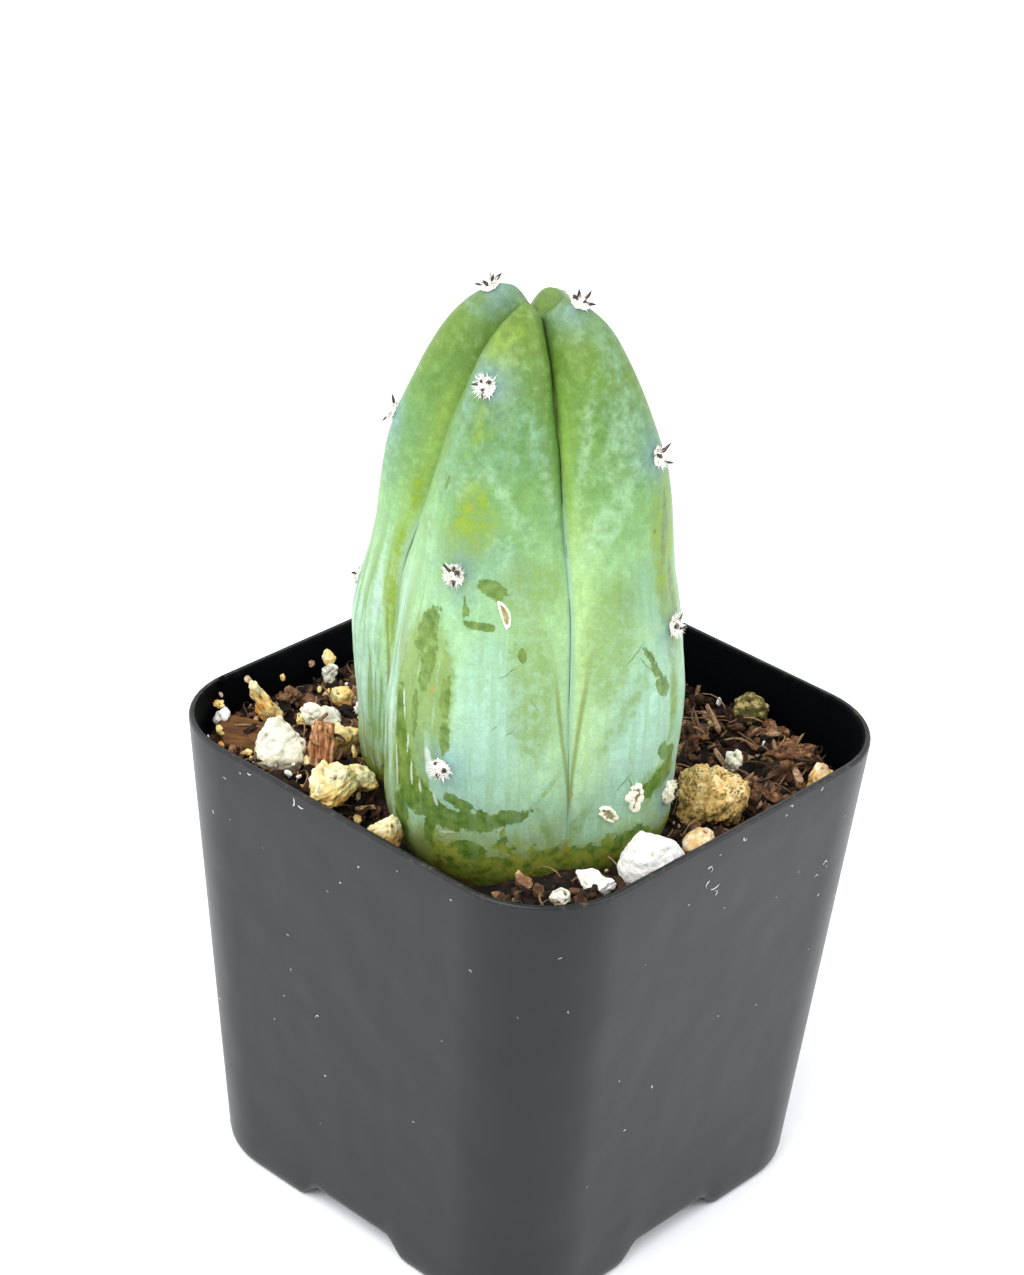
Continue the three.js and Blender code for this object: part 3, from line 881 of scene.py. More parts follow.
@dataclass(frozen=True)
class WaxySkin:
    """Living cactus skin under its bloom of wax: blue-green and satin where the wax is whole,
    olive and glossier where it was rubbed off, yellower beside the grooves and brown at the soil.
    Some of its colour is painted light: pale highlight streaks low on its left, a light line along
    one fold, painted shade along the grooves and beside one of them near the crown, and a painted
    shadow round each areole."""

    by_height: tuple[tuple[float, str], ...] = (
        (49.0, "#94A040"), (54.0, "#ACC482"), (58.0, "#B9E6BE"), (66.0, "#BDEAC8"), (76.0, "#B2E0AC"),
        (86.0, "#9CCE8C"), (93.0, "#80B264"), (100.0, "#719F48"), (110.0, "#779832"),
    )
    height_drift: float = 7.0
    rubbed: str = "#587E1C"
    thin: str = "#86A648"
    teal: str = "#84B594"
    low_teal: str = "#B4E2D0"
    pale: str = "#BCE6C0"
    olive: str = "#84A244"
    crease_shade: str = "#3F6412"
    # The colour of the painted shade along each groove near the crown.
    seam: str = "#9CC8B4"
    vein: str = "#86983A"
    base: str = "#B9BE46"
    earth: str = "#7A6428"
    cloud: float = 4.5
    mottle: float = 1.1
    fleck: float = 0.28
    tear: float = 1.5
    tear_reach: float = 2.3
    small_tear: float = 0.8
    soft_edge: Pair = (1.3, -0.7)
    torn_edge: Pair = (0.05, -0.05)
    small_edge: Pair = (1.15, 0.85)
    soil_edge: Pair = (54.2, 53.4)
    mud_edge: Pair = (50.8, 49.4)
    whole_drop: float = 4.5
    rag: float = 3.2
    rag_reach: float = 3.4

    def masks(self, mix: Recipe, skin: "Skin") -> dict[str, Socket]:
        """Makes the share of each kind of mark over the skin.

        Args:
            mix: The material.
            skin: The stem's surface, on which the marks lie.

        Returns:
            For each kind's name, a share from nought to one.
        """
        torn = grain(self.tear, 7.0, 0.7)
        reach = {"To Min": -self.tear_reach, "To Max": self.tear_reach}
        ragged = mix.add("MapRange", {"Value": mix.add("TexNoise", torn), **reach})
        shares = {}
        for kind in CARRIED:
            away = mix.add("Attribute", give="Fac", attribute_name=kind.layer)
            away = mix.add("Math", {0: away, 1: ragged}, operation="ADD")
            shares[kind.layer] = mix.between(away, *(self.soft_edge if kind.soft else self.torn_edge))
        warp = mix.add("TexNoise", torn, give="Color")
        warp = mix.add("VectorMath", {0: warp, 1: (0.5, 0.5, 0.5)}, operation="SUBTRACT")
        reach = (self.small_tear * MM,) * 3
        warp = mix.add("VectorMath", {0: warp, 1: reach, 2: mix.place}, operation="MULTIPLY_ADD")
        for kind in SMALL:
            nearest = None
            for mark in MARKS[kind]:
                place, turned = skin.frame(mark.turn, mark.height, mark.tilt)
                size = (mark.across * MM, mark.up * MM, skin.depth * MM)
                frame = {"Vector": warp, "Location": place, "Rotation": turned.to_euler(), "Scale": size}
                local = mix.add("Mapping", frame, vector_type="TEXTURE")
                away = mix.add("VectorMath", {0: local}, operation="LENGTH")
                if nearest is not None:
                    away = mix.add("Math", {0: nearest, 1: away}, operation="MINIMUM")
                nearest = away
            shares[kind.layer] = mix.between(nearest, *self.small_edge)
        return shares

    def layers(self, mix: Recipe, skin: "Skin") -> dict[str, Socket]:
        """Makes all that the colours follow: the height, the turn in ribs, the patterns, the wool,
        the pleats and the marks.

        Args:
            mix: The material.
            skin: The stem's surface, on which the marks lie.

        Returns:
            What the colours follow, by name.
        """
        around = mix.add("UVMap", uv_map="UVMap")
        drawn = mix.add("VectorMath", {0: around, 1: (100.0, 7.0, 1.0)}, operation="MULTIPLY")
        patterns = {
            "cloud": grain(self.cloud, 6.0, 0.62),
            "mottle": grain(self.mottle, 5.0, 0.62),
            "fleck": grain(self.fleck, 3.0),
            "streak": {"Vector": drawn, "Scale": 1.0, "Detail": 4.0, "Roughness": 0.6},
        }
        layers = {name: mix.add("TexNoise", sockets) for name, sockets in patterns.items()}
        layers["height"] = mix.add("SeparateXYZ", {0: mix.place}, give="Z")
        layers["turn"] = mix.product(mix.add("SeparateXYZ", {0: around}, give="X"), 4.0)
        for name in ("pleated", "near_wool"):
            layers[name] = mix.add("Attribute", give="Fac", attribute_name=name)
        # A narrow ring right round the wool, where a painted shadow lies.
        layers["painted_shadow_at_wool"] = mix.add("Math", {0: layers["near_wool"], 1: 6.0}, operation="POWER")
        return layers | self.masks(mix, skin)

    def wash(self, mix: Recipe, colour: Socket, washes: Sequence[Wash], layers: dict[str, Socket]) -> Socket:
        """Lays washes over the skin.

        Args:
            mix: The material.
            colour: The skin's colour so far.
            washes: The washes, from the lowest.
            layers: What the colours follow.

        Returns:
            The skin's colour with its washes.
        """
        for wash in washes:
            shares = [layers[wash.area]]
            if wash.pattern:
                shares.append(mix.between(layers[wash.pattern], wash.start, wash.end))
            colour = mix.paint(colour, wash.colour, *shares, wash.weight)
        return colour

    def ground(self, mix: Recipe, layers: dict[str, Socket]) -> Socket:
        """Mixes the skin's colour by its height, with thick wax over it.

        Args:
            mix: The material.
            layers: What the colours follow.

        Returns:
            The colour.
        """
        reach = self.height_drift * MM
        drift = mix.add("MapRange", span(layers["cloud"], 0.0, 1.0, -reach, reach))
        level = mix.add("Math", {0: layers["height"], 1: drift}, operation="ADD")
        low, high = self.by_height[0][0], self.by_height[-1][0]
        level = mix.add("MapRange", span(level, low * MM, high * MM))
        stops = [((z - low) / (high - low), colour) for z, colour in self.by_height]
        colour = mix.add("ValToRGB", {0: level}, stops=(stops[0], stops[-1], *stops[1:-1]))
        mottle = layers["mottle"]
        upper = mix.between(layers["height"], 70 * MM, 86 * MM)
        blue = mix.paint(self.low_teal, self.teal, upper)
        colour = mix.paint(colour, blue, layers["teal"], mix.between(mottle, 0.2, 0.68), 0.62)
        blooms = mix.product(mix.between(mottle, 0.5, 0.62), mix.between(layers["cloud"], 0.42, 0.58))
        colour = mix.paint(colour, self.pale, blooms, upper, 0.17)
        drifting = mix.between(layers["streak"], 0.46, 0.62)
        return mix.paint(colour, self.olive, drifting, mix.between(mottle, 0.38, 0.6), 0.34)

    def flanks(self, mix: Recipe, colour: Socket, layers: dict[str, Socket]) -> Socket:
        """Paints the bands beside the grooves, among them a painted highlight along one fold and painted
        shade beside one groove near the crown.

        Args:
            mix: The material.
            colour: The skin's colour so far.
            layers: What the colours follow.

        Returns:
            The skin's colour with its bands.
        """
        streaky = mix.between(layers["streak"], 0.28, 0.6)
        uneven = mix.add("MapRange", span(streaky, 0.0, 1.0, 0.5, 1.0))
        for band in FLANKS:
            off = mix.add("Math", {0: layers["turn"], 1: band.groove}, operation="SUBTRACT")
            off = mix.product(off, band.side)
            here = mix.add("Math", {0: off, 1: -0.002}, operation="GREATER_THAN")
            close = mix.between(off, band.far, band.near)
            over = mix.between(layers["height"], (band.low - band.fade) * MM, band.low * MM)
            under = mix.between(layers["height"], band.high * MM, (band.high - band.fade) * MM)
            colour = mix.paint(colour, band.colour, here, close, over, under, uneven, band.weight)
        return colour

    def grooves(self, mix: Recipe, colour: Socket, layers: dict[str, Socket]) -> Socket:
        """Paints each groove: a dark line near the crown, which is painted shade, a bluish seam lower down,
        and its veins.

        Args:
            mix: The material.
            colour: The skin's colour so far.
            layers: What the colours follow.

        Returns:
            The skin's colour with its grooves.
        """
        height = layers["height"]
        nearest = mix.add("Math", {0: layers["turn"], 1: 1.0}, operation="PINGPONG")
        off = mix.add("Math", {0: nearest, 1: 0.5}, operation="PINGPONG")
        low = mix.between(height, 97 * MM, 87 * MM)
        high = mix.between(height, 86 * MM, 98 * MM)
        foot = mix.between(height, 54 * MM, 60 * MM)
        # Painted shade: a dark line along each groove near the crown, where the groove is deepest.
        colour = mix.paint(colour, self.crease_shade, mix.between(off, 0.014, 0.004), high, 0.25)
        colour = mix.paint(colour, self.seam, mix.between(off, 0.024, 0.004), low, foot, 0.55)
        rising = {"From Min": 61.0 * MM, "From Max": 74.5 * MM, "To Min": 0.004, "To Max": 0.07}
        spread = mix.add("MapRange", {"Value": height, **rising}, clamp=False)
        away = mix.add("Math", {0: off, 1: spread}, operation="SUBTRACT")
        away = mix.add("Math", {0: away}, operation="ABSOLUTE")
        lower = mix.between(height, 78 * MM, 70 * MM)
        return mix.paint(colour, self.vein, mix.between(away, 0.016, 0.002), lower, 0.7)

    def soil_line(self, mix: Recipe, layers: dict[str, Socket]) -> Socket:
        """Measures the height over the ragged line down to which the wax is whole.

        Args:
            mix: The material.
            layers: What the colours follow.

        Returns:
            The height.
        """
        rags = mix.add("TexNoise", grain(self.rag, 7.0, 0.68))
        reach = self.rag_reach * MM
        torn = span(rags, 0.3, 0.7, -reach, reach)
        edge = mix.add("Math", {0: layers["height"], 1: mix.add("MapRange", torn)}, operation="ADD")
        whole = mix.product(layers["whole"], self.whole_drop * MM)
        return mix.add("Math", {0: edge, 1: whole}, operation="ADD")

    def material(self, skin: "Skin") -> Finish:
        """Mixes the finish.

        Args:
            skin: The stem's surface, on which the marks lie.

        Returns:
            The material.
        """
        mix = Recipe("cactus skin, waxy, living", 0.61)
        layers = self.layers(mix, skin)
        mottle, streak, fleck = layers["mottle"], layers["streak"], layers["fleck"]
        colour = self.flanks(mix, self.ground(mix, layers), layers)
        colour = self.wash(mix, colour, UNDER_RUBBING, layers)
        shades = []
        for pattern, swing in ((mottle, 0.2), (fleck, 0.1)):
            shade = span(pattern, 0.25, 0.75, 1 - swing, 1 + swing)
            shades.append(mix.add("MapRange", shade))
        colour = mix.add("VectorMath", {0: colour, 1: mix.product(*shades)}, operation="MULTIPLY")
        colour = self.grooves(mix, colour, layers)

        edge = self.soil_line(mix, layers)
        at_soil = mix.between(edge, *(z * MM for z in self.soil_edge))
        muddy = mix.between(edge, *(z * MM for z in self.mud_edge))
        left = span(streak, 0.5, 0.62, 1.0, 0.72)
        bare = mix.add("Math", {0: layers["rubbed"], 1: at_soil}, operation="MAXIMUM")
        bared = mix.add("ValToRGB", {0: mottle}, stops=((0.38, self.rubbed), (0.66, self.thin)))
        colour = mix.paint(colour, bared, bare, mix.add("MapRange", left), 0.92)
        colour = mix.paint(colour, self.base, at_soil, mix.between(mottle, 0.3, 0.66), 0.75)
        colour = mix.paint(colour, self.earth, muddy, 0.8)
        colour = self.wash(mix, colour, OVER_ALL, layers)

        gloss = mix.add("MapRange", span(bare, 0.0, 1.0, 0.46, 0.3))
        uneven = mix.add("MapRange", span(mottle, 0.0, 1.0, -0.08, 0.08))
        rough = mix.add("Math", {0: gloss, 1: uneven}, operation="ADD")
        wrinkle = mix.add("Bump", relief(streak, 0.12, 0.4))
        fine = relief(fleck, 0.12, 0.06, wrinkle)
        return mix.finished(colour, rough, mix.add("Bump", fine), {
            "IOR": 1.42,
            "Subsurface Weight": 0.12,
            "Subsurface Radius": (0.4, 1.0, 0.3),
            "Subsurface Scale": 1.5 * MM,
            "Specular IOR Level": 0.35,
            "Coat Weight": 0.05,
            "Coat Roughness": 0.25,
        })


def round_off(shape: Shape, parts: Sequence[object], radius: float, cuts: int, affect: str) -> None:
    """Rounds corners or edges off.

    Args:
        shape: The shape.
        parts: Its corners or edges.
        radius: The rounding, in millimetres.
        cuts: How many faces make the rounding.
        affect: VERTICES or EDGES.
    """
    bmesh.ops.bevel(
        shape, geom=parts, offset=radius * MM, segments=cuts, profile=0.5, affect=affect, material=-1
    )


@dataclass
class Pot:
    """The moulded square pot: tapered walls, four feet, an arch in each side and drain holes."""

    top: float = 60.0
    foot: float = 51.5
    height: float = 57.0
    corner: float = 11.4
    wall: float = 0.9
    foot_edge: float = 1.6
    arch_foot: float = 17.0
    arch_top: float = 11.0
    arch_height: float = 2.2
    arch_reach: float = 9.0
    drain: float = 2.6
    drain_offset: float = 13.0
    nub: Pair = (-28.9, -19.6)
    nub_radius: float = 0.5
    bow: float = 0.3
    rim_round: float = 0.38
    rim_cuts: int = 5
    side_cuts: int = 44
    corner_cuts: int = 12
    wall_rings: int = 24
    base_rings: int = 18

    def half(self, z: float) -> float:
        """Outside half width at a height, in millimetres."""
        return mixed(self.foot, self.top, z / self.height) / 2

    def arch(self, off_middle: float) -> float:
        """Height of the arch at a distance from the middle of a side, in millimetres."""
        slope = (abs(off_middle) - self.arch_top / 2) / ((self.arch_foot - self.arch_top) / 2)
        return self.arch_height * (1 - eased(slope))

    def levels(self) -> list[Pair]:
        """The shell's rings after the rim: down the wall, round the foot and in to the middle.

        Returns:
            The height and the half width of each ring, in millimetres.
        """
        rings = []
        for i in range(1, self.wall_rings + 1):
            z = mixed(self.height, self.foot_edge, (i / self.wall_rings) ** 0.8)
            rings.append((z, self.half(z)))
        for i in range(1, 5):
            angle = radians(90 * i / 4)
            z = self.foot_edge * (1 - sin(angle))
            rings.append((z, self.half(z) - self.foot_edge / 2 * (1 - cos(angle))))
        inner = rings[-1][1]
        for i in range(1, self.base_rings + 1):
            rings.append((0.0, inner * (1 - i / (self.base_rings + 1))))
        return rings

    def shell(self) -> Shape:
        """Draws the outer shell down from the rim and gives it its thickness.

        Returns:
            The shell.
        """
        shape = bmesh.new()
        half = self.top / 2 * MM
        corners = bmesh.ops.create_grid(
            shape, x_segments=1, y_segments=1, size=half, matrix=Matrix.Translation(UP * self.height * MM)
        )["verts"]
        round_off(shape, corners, self.corner, self.corner_cuts, "VERTICES")
        bmesh.ops.delete(shape, geom=shape.faces[:], context="FACES_ONLY")
        sides = [e for e in shape.edges if e.calc_length() > 2 * self.corner * MM]
        bmesh.ops.subdivide_edges(shape, edges=sides, cuts=self.side_cuts)
        edges = shape.edges[:]
        z_before, half_before = self.height, self.top / 2
        for z, half_here in self.levels():
            ring, edges = drawn_on(shape, edges)
            share = half_here / half_before
            bmesh.ops.scale(shape, verts=ring, vec=(share, share, 1.0))
            bmesh.ops.translate(shape, verts=ring, vec=UP * (z - z_before) * MM)
            z_before, half_before = z, half_here
        bmesh.ops.pointmerge(shape, verts=ring, merge_co=(0, 0, 0))
        self.lift_arches(shape)
        face_outwards(shape)
        if max(shape.faces, key=lambda f: f.calc_center_median().x).normal.x < 0:
            bmesh.ops.reverse_faces(shape, faces=shape.faces[:])
        bmesh.ops.solidify(shape, geom=shape.faces[:], thickness=self.wall * MM)
        self.round_rim(shape)
        return shape

    def lift_arches(self, shape: Shape) -> None:
        """Lifts the base's cross and the arches, and bows the +X side out at the rim.

        Args:
            shape: The outer shell.
        """
        for vert in shape.verts:
            x, y, z = (c / MM for c in vert.co)
            if z < self.arch_reach:
                lift = max(self.arch(x), self.arch(y))
                z += lift * (1 - z / self.arch_reach)
            if x > self.half(z) - self.corner * 0.6:
                flat = 1 - (y / (self.top / 2 - self.corner * 0.4)) ** 2
                x += self.bow * max(flat, 0) * (z / self.height) ** 3
            vert.co = Vector((x, y, z)) * MM

    def round_rim(self, shape: Shape) -> None:
        """Levels the rim and rounds its two edges.

        Args:
            shape: The shell, with its thickness.
        """
        rim = [v for v in shape.verts if v.co.z > (self.height - 0.2) * MM]
        for vert in rim:
            vert.co.z = self.height * MM
        on_rim = set(rim)
        tops = [f for f in shape.faces if all(v in on_rim for v in f.verts)]
        on_top = set(tops)
        edges = [e for f in tops for e in f.edges if sum(g in on_top for g in e.link_faces) == 1]
        round_off(shape, edges, self.rim_round, self.rim_cuts, "EDGES")

    def mark_inside(self, faces: Iterable[bmesh.types.BMFace]) -> None:
        """Gives those faces that lie inside the wall the second finish, whose darker colour is painted shade.

        Args:
            faces: The faces.
        """
        for face in faces:
            x, y, z = (c / MM for c in face.calc_center_median())
            core = self.half(z) - self.corner
            out = hypot(max(abs(x) - core, 0), max(abs(y) - core, 0)) - self.corner
            if out < -0.7 * self.wall and self.wall * 2 < z < self.top - 0.3:
                face.material_index = 1

    def add_nub(self, piece: bpy.types.Object) -> None:
        """Adds the nub that moulding left on the rim.

        Args:
            piece: The pot, with its drain holes.
        """
        shape = bmesh.new()
        shape.from_mesh(piece.data)
        place = Matrix.Translation(Vector((*self.nub, self.height)) * MM)
        nub = bmesh.ops.create_uvsphere(
            shape, u_segments=14, v_segments=10, radius=self.nub_radius * MM, matrix=place
        )["verts"]
        self.mark_inside({face for vert in nub for face in vert.link_faces})
        shape.to_mesh(piece.data)
        shape.free()

    def drill(self, piece: bpy.types.Object) -> None:
        """Cuts the drain holes through the base.

        Args:
            piece: The pot, whose mesh is replaced by the cut one.
        """
        shape = bmesh.new()
        for x, y in ((0, 0), (1, 0), (-1, 0), (0, 1), (0, -1)):
            bmesh.ops.create_cone(
                shape,
                cap_ends=True,
                segments=40,
                radius1=self.drain * MM,
                radius2=self.drain * MM,
                depth=12 * MM,
                matrix=Matrix.Translation(Vector((x, y, 0)) * self.drain_offset * MM),
            )
        mesh = bpy.data.meshes.new("drill")
        shape.to_mesh(mesh)
        shape.free()
        drill = set_out("drill", mesh)
        cut = piece.modifiers.new("drain holes", "BOOLEAN")
        cut.operation = "DIFFERENCE"
        cut.object = drill
        cut.solver = "EXACT"
        whole = piece.data
        bpy.context.view_layer.update()
        piece.data = bpy.data.meshes.new_from_object(
            piece.evaluated_get(bpy.context.evaluated_depsgraph_get())
        )
        piece.modifiers.clear()
        bpy.data.objects.remove(drill)
        bpy.data.meshes.remove(mesh)
        bpy.data.meshes.remove(whole)

    def build(self, finishes: Sequence[Finish]) -> BVHTree:
        """Builds the pot.

        Args:
            finishes: Its materials outside and inside; the inside one is darker, as painted shade.

        Returns:
            Its surface.
        """
        shape = self.shell()
        self.mark_inside(shape.faces)
        surface = BVHTree.FromBMesh(shape)
        piece = make_piece("pot_shell", shape, finishes, ["pot"])
        self.drill(piece)
        self.add_nub(piece)
        piece.data.polygons.foreach_set("use_smooth", [True] * len(piece.data.polygons))
        return surface


@dataclass(frozen=True)
class Lint:
    """A bit of lint on the pot: the side it is on, where, how long and how it lies.

    Side 0 faces -Y and the others follow anticlockwise from above. Sizes are in millimetres."""

    side: int
    along: float
    height: float
    length: float
    turn: float
    curl: float = 0.5
    width: float = 0.05

    def build(self, heap: Heap, surface: BVHTree, reach: float, draw: random.Random) -> None:
        """Draws the strand on the pot's side.

        Args:
            heap: The heap that gets it.
            surface: The pot's surface.
            reach: How far out of the pot's axis the search for its surface starts.
            draw: Random numbers.
        """
        around = Matrix.Rotation(radians(90 * self.side), 3, "Z")
        heading = radians(self.turn)
        along, height = self.along, self.height
        path = []
        for _ in range(6):
            start = around @ Vector((along, -reach, height))
            place, normal, _, _ = surface.ray_cast(start * MM, around @ Vector((0, 1, 0)))
            path.append(place + normal * 0.02 * MM)
            heading += self.curl + draw.uniform(-0.35, 0.35)
            along += cos(heading) * self.length / 5
            height = min(height + sin(heading) * self.length / 5, 56.3)
        tint = heap.lot().verts.layers.float["tint"]
        width = self.width * draw.uniform(0.7, 1.3) * MM
        for vert in draw_strand(heap.current, path, [width] * 4 + [width * 0.6], 4):
            vert[tint] = 1.0


MEASURED_LINT = (
    Lint(0, -17.1, 53.5, 0.7, 120, 0.2), Lint(0, -19.6, 47.8, 0.6, 60, 0.2),
    Lint(0, -6.4, 55.2, 1.3, 20, 0.5, 0.07), Lint(0, -5.6, 55.6, 0.9, -40, 0.3, 0.06),
    Lint(0, -13.5, 56, 0.8, -10, 0.2), Lint(0, 3.4, 52, 0.4, 10, 0.9, 0.08),
    Lint(0, 0.6, 48.6, 0.3, 80, 0.9, 0.08), Lint(0, -3, 20.5, 0.3, 0, 1, 0.09),
    Lint(0, 11, 22, 0.5, 160, 0.3), Lint(1, 0.9, 55.4, 1, 200, 0.8, 0.06), Lint(1, 13.7, 56, 0.9, 15, 0.3),
    Lint(1, 8.8, 56, 0.7, 40, 0.7), Lint(1, 8.1, 55.2, 0.5, 100, 0.8),
    Lint(1, -4.6, 53.8, 1.6, 60, -0.5, 0.05), Lint(1, -4, 52, 1.4, 200, 0.5, 0.05),
    Lint(1, -3.4, 50.6, 1.6, -60, 0.4, 0.06), Lint(1, -2.4, 49.4, 1.2, 10, 0.6, 0.06),
    Lint(1, 17.6, 44.8, 1, 100, 0.7), Lint(1, 16.3, 43.5, 0.7, 80, 0.5),
    Lint(1, -14, 30, 0.3, 30, 0.8, 0.07), Lint(1, -8, 26, 0.5, 80, 0.2), Lint(1, -11.5, 22, 0.4, 130, 0.3),
    Lint(1, 9, 29, 0.3, 30, 0.9, 0.08),
)


@dataclass(frozen=True)
class Dusting:
    """The lint on the pot: the measured bits, and random ones."""

    measured: tuple[Lint, ...] = MEASURED_LINT
    others: int = 70

    def build(self, pot: Pot, surface: BVHTree, finish: Finish) -> None:
        """Strews the lint.

        Args:
            pot: The pot.
            surface: Its surface.
            finish: The lint's material.
        """
        draw = random.Random(5)
        heap = Heap("tint")
        for bit in self.measured:
            bit.build(heap, surface, pot.top, draw)
        for _ in range(self.others):
            side = draw.randrange(4)
            height = mixed(5, 55.5, sqrt(draw.random()))
            along = draw.uniform(-1, 1) * (pot.half(height) - 4)
            length = draw.lognormvariate(-1.2, 0.5)
            width = draw.uniform(0.02, 0.05)
            bit = Lint(side, along, height, length, draw.uniform(0, 360), draw.uniform(-0.7, 0.7), width)
            bit.build(heap, surface, pot.top, draw)
        make_piece("lint", heap.finished(), [finish])


@dataclass
class Rib:
    """One rib: where its groove is, how that turns, and how its crest lies and stands."""

    name: str
    groove: float
    drift: float
    crest: Pair
    reach: Pair
    lift: float


@dataclass
class Skin:
    """The stem's surface, for what lies on it."""

    axis: Vector
    tree: BVHTree
    depth: float = 3.0

    def frame(self, turn: float, height: float, tilt: float = 0.0) -> tuple[Vector, Matrix]:
        """A place on the skin and how it faces.

        Args:
            turn: Direction from the plant's axis, in degrees.
            height: Height, in millimetres.
            tilt: Turn about the skin's normal, in degrees, anticlockwise from outside.

        Returns:
            The place, and a turn whose X runs across, Y up and Z out of the skin.
        """
        out = Vector((cos(radians(turn)), sin(radians(turn)), 0.0))
        start = Vector((self.axis.x, self.axis.y, height * MM))
        place, normal, _, _ = self.tree.ray_cast(start + out * 40 * MM, -out)
        across = UP.cross(normal).normalized()
        up = normal.cross(across)
        turned = Matrix((across, up, normal)).transposed()
        return place, turned @ Matrix.Rotation(radians(tilt), 3, "Z")

    def outwards(self, point: Vector, lift: float) -> Vector:
        """The place at a height over the skin, nearest to a point.

        Args:
            point: A point near the skin.
            lift: Height over the skin, in metres.

        Returns:
            The place.
        """
        place, normal, _, _ = self.tree.find_nearest(point)
        return place + normal * lift


@dataclass
class Stem:
    """The ribbed stem: a spun blank whose rings are drawn out into four ribs."""

    axis: Pair = (4.5, -6.1)
    lean: Pair = (-0.013, -0.012)
    foot: float = 50.0
    top: float = 110.5
    height: float = 60.0
    crest_line: tuple[Row, ...] = (
        (0, 108.3), (1.6, 109.6), (3, 110.5), (6.9, 108), (10.3, 102.5), (13.7, 93.5),
        (15.3, 82.5), (17.5, 70.5), (17.5, 59.5), (16.6, 50.5), (10.3, 42.5), (0, 38.5),
    )
    groove_line: tuple[Row, ...] = (
        (0, 108.3), (0.8, 107.4), (2.2, 105.3), (4.5, 101.8), (7.2, 96.3), (9.1, 89.3),
        (12.6, 80.3), (13.2, 69.3), (14.2, 58.8), (13.4, 50.3), (8.3, 42.8), (0, 38.5),
    )
    blunt: Pair = (0.36, 1.0)
    fillet: float = 0.06
    crown_depth: float = 30.0
    crown_radius: float = 4.0
    summit: float = 0.16
    ribs: tuple[Rib, ...] = (
        Rib("left", -200.5, 0.0, (0.7, 0.7), (1.12, 1.11), 1.3),
        Rib("front", -122.0, -22.5, (0.4, 0.58), (0.86, 0.92), 0.0),
        Rib("right", -28.0, 1.1, (0.52, 0.5), (1.09, 0.96), 0.7),
        Rib("back", 63.5, 0.0, (0.5, 0.5), (1.0, 1.0), 0.0),
    )
    rings: int = 236
    rib_columns: int = 72
    soil_share: float = 0.84
    soil_rings: int = 222
    groove_crowding: float = 1.8

    @staticmethod
    def along_line(line: Sequence[Pair], share: float) -> Pair:
        """A point of a smooth curve through a line's points.

        Args:
            line: The points, as radius and height.
            share: How far along, from nought to one, evenly by point.

        Returns:
            Radius and height.
        """
        last = len(line) - 1
        at = min(max(share, 0.0), 1.0) * last
        i = min(int(at), last - 1)
        t = at - i
        points = [Vector(line[min(max(i + k, 0), last)]) for k in (-1, 0, 1, 2)]
        before, here, there, after = points
        leaving = (there - before) / 2
        reaching = (after - here) / 2
        cubic = 2 * here - 2 * there + leaving + reaching
        square = 3 * there - 3 * here - 2 * leaving - reaching
        point = cubic * t ** 3 + square * t ** 2 + leaving * t + here
        return point.x, point.y

    def ring_lines(self, along: float) -> Ring:
        """Measures one ring.

        Args:
            along: How far from the crown to the foot it is.

        Returns:
            A point of its crest, one of its groove, and how far down the ribs it is.
        """
        crest = self.along_line(self.crest_line, along)
        groove = self.along_line(self.groove_line, along)
        depth = min(max((self.top - groove[1]) / self.height, 0.0), 1.1)
        return crest, groove, depth

    def point(
        self,
        rib: int,
        side: float,
        falling: bool,
        ring: Ring,
    ) -> tuple[Vector, float]:
        """A point of the skin.

        Args:
            rib: The rib's number.
            side: How far from the groove to the crest, across the rib.
            falling: Whether it is past the crest.
            ring: What ring_lines gave for its ring.

        Returns:
            The place in millimetres, and its rise out of the groove.
        """
        crest, groove, depth = ring
        here = self.ribs[rib]
        after = self.ribs[(rib + 1) % len(self.ribs)]
        turn = 360.0 if rib == len(self.ribs) - 1 else 0.0
        start = here.groove + here.drift * depth
        end = after.groove + after.drift * depth + turn
        share = mixed(*here.crest, depth)
        across = 1 - side * (1 - share) if falling else side * share
        soft = hypot(clamped(side), self.fillet * min(depth, 1.0))
        rise = sin(pi / 2 * min(soft, 1.0)) ** mixed(*self.blunt, min(depth, 1.0))
        near = max(1 - (self.top - crest[1]) / self.crown_depth, 0.0)
        crown = near * min(crest[0] / self.crown_radius, 1.0)
        radius = mixed(groove[0], crest[0] * mixed(*here.reach, depth), rise)
        z = mixed(groove[1], crest[1] + here.lift * crown, rise)
        angle = radians(mixed(start, end, across))
        x = self.axis[0] + self.lean[0] * (z - self.foot) + radius * cos(angle)
        y = self.axis[1] + self.lean[1] * (z - self.foot) + radius * sin(angle)
        return Vector((x, y, z)), rise

    def crest_frame(self, rib: int, height: float) -> tuple[Vector, Matrix]:
        """A place on a rib's crest and how it faces.

        Args:
            rib: The rib's number.
            height: Height, in millimetres.

        Returns:
            The place in metres, and a turn whose X runs across, Y up the crest and Z outwards.
        """
        along = self.summit
        while along < 1 and self.point(rib, 1.0, False, self.ring_lines(along))[0].z > height:
            along += 0.001
        place = self.point(rib, 1.0, False, self.ring_lines(along))[0]
        lower = self.point(rib, 1.0, False, self.ring_lines(along + 0.01))[0] - place
        rising = self.point(rib, 0.96, False, self.ring_lines(along))[0]
        falling = self.point(rib, 0.96, True, self.ring_lines(along))[0]
        normal = lower.cross(falling - rising).normalized()
        up = (-lower - normal * -lower.dot(normal)).normalized()
        return place * MM, Matrix((up.cross(normal), up, normal)).transposed()

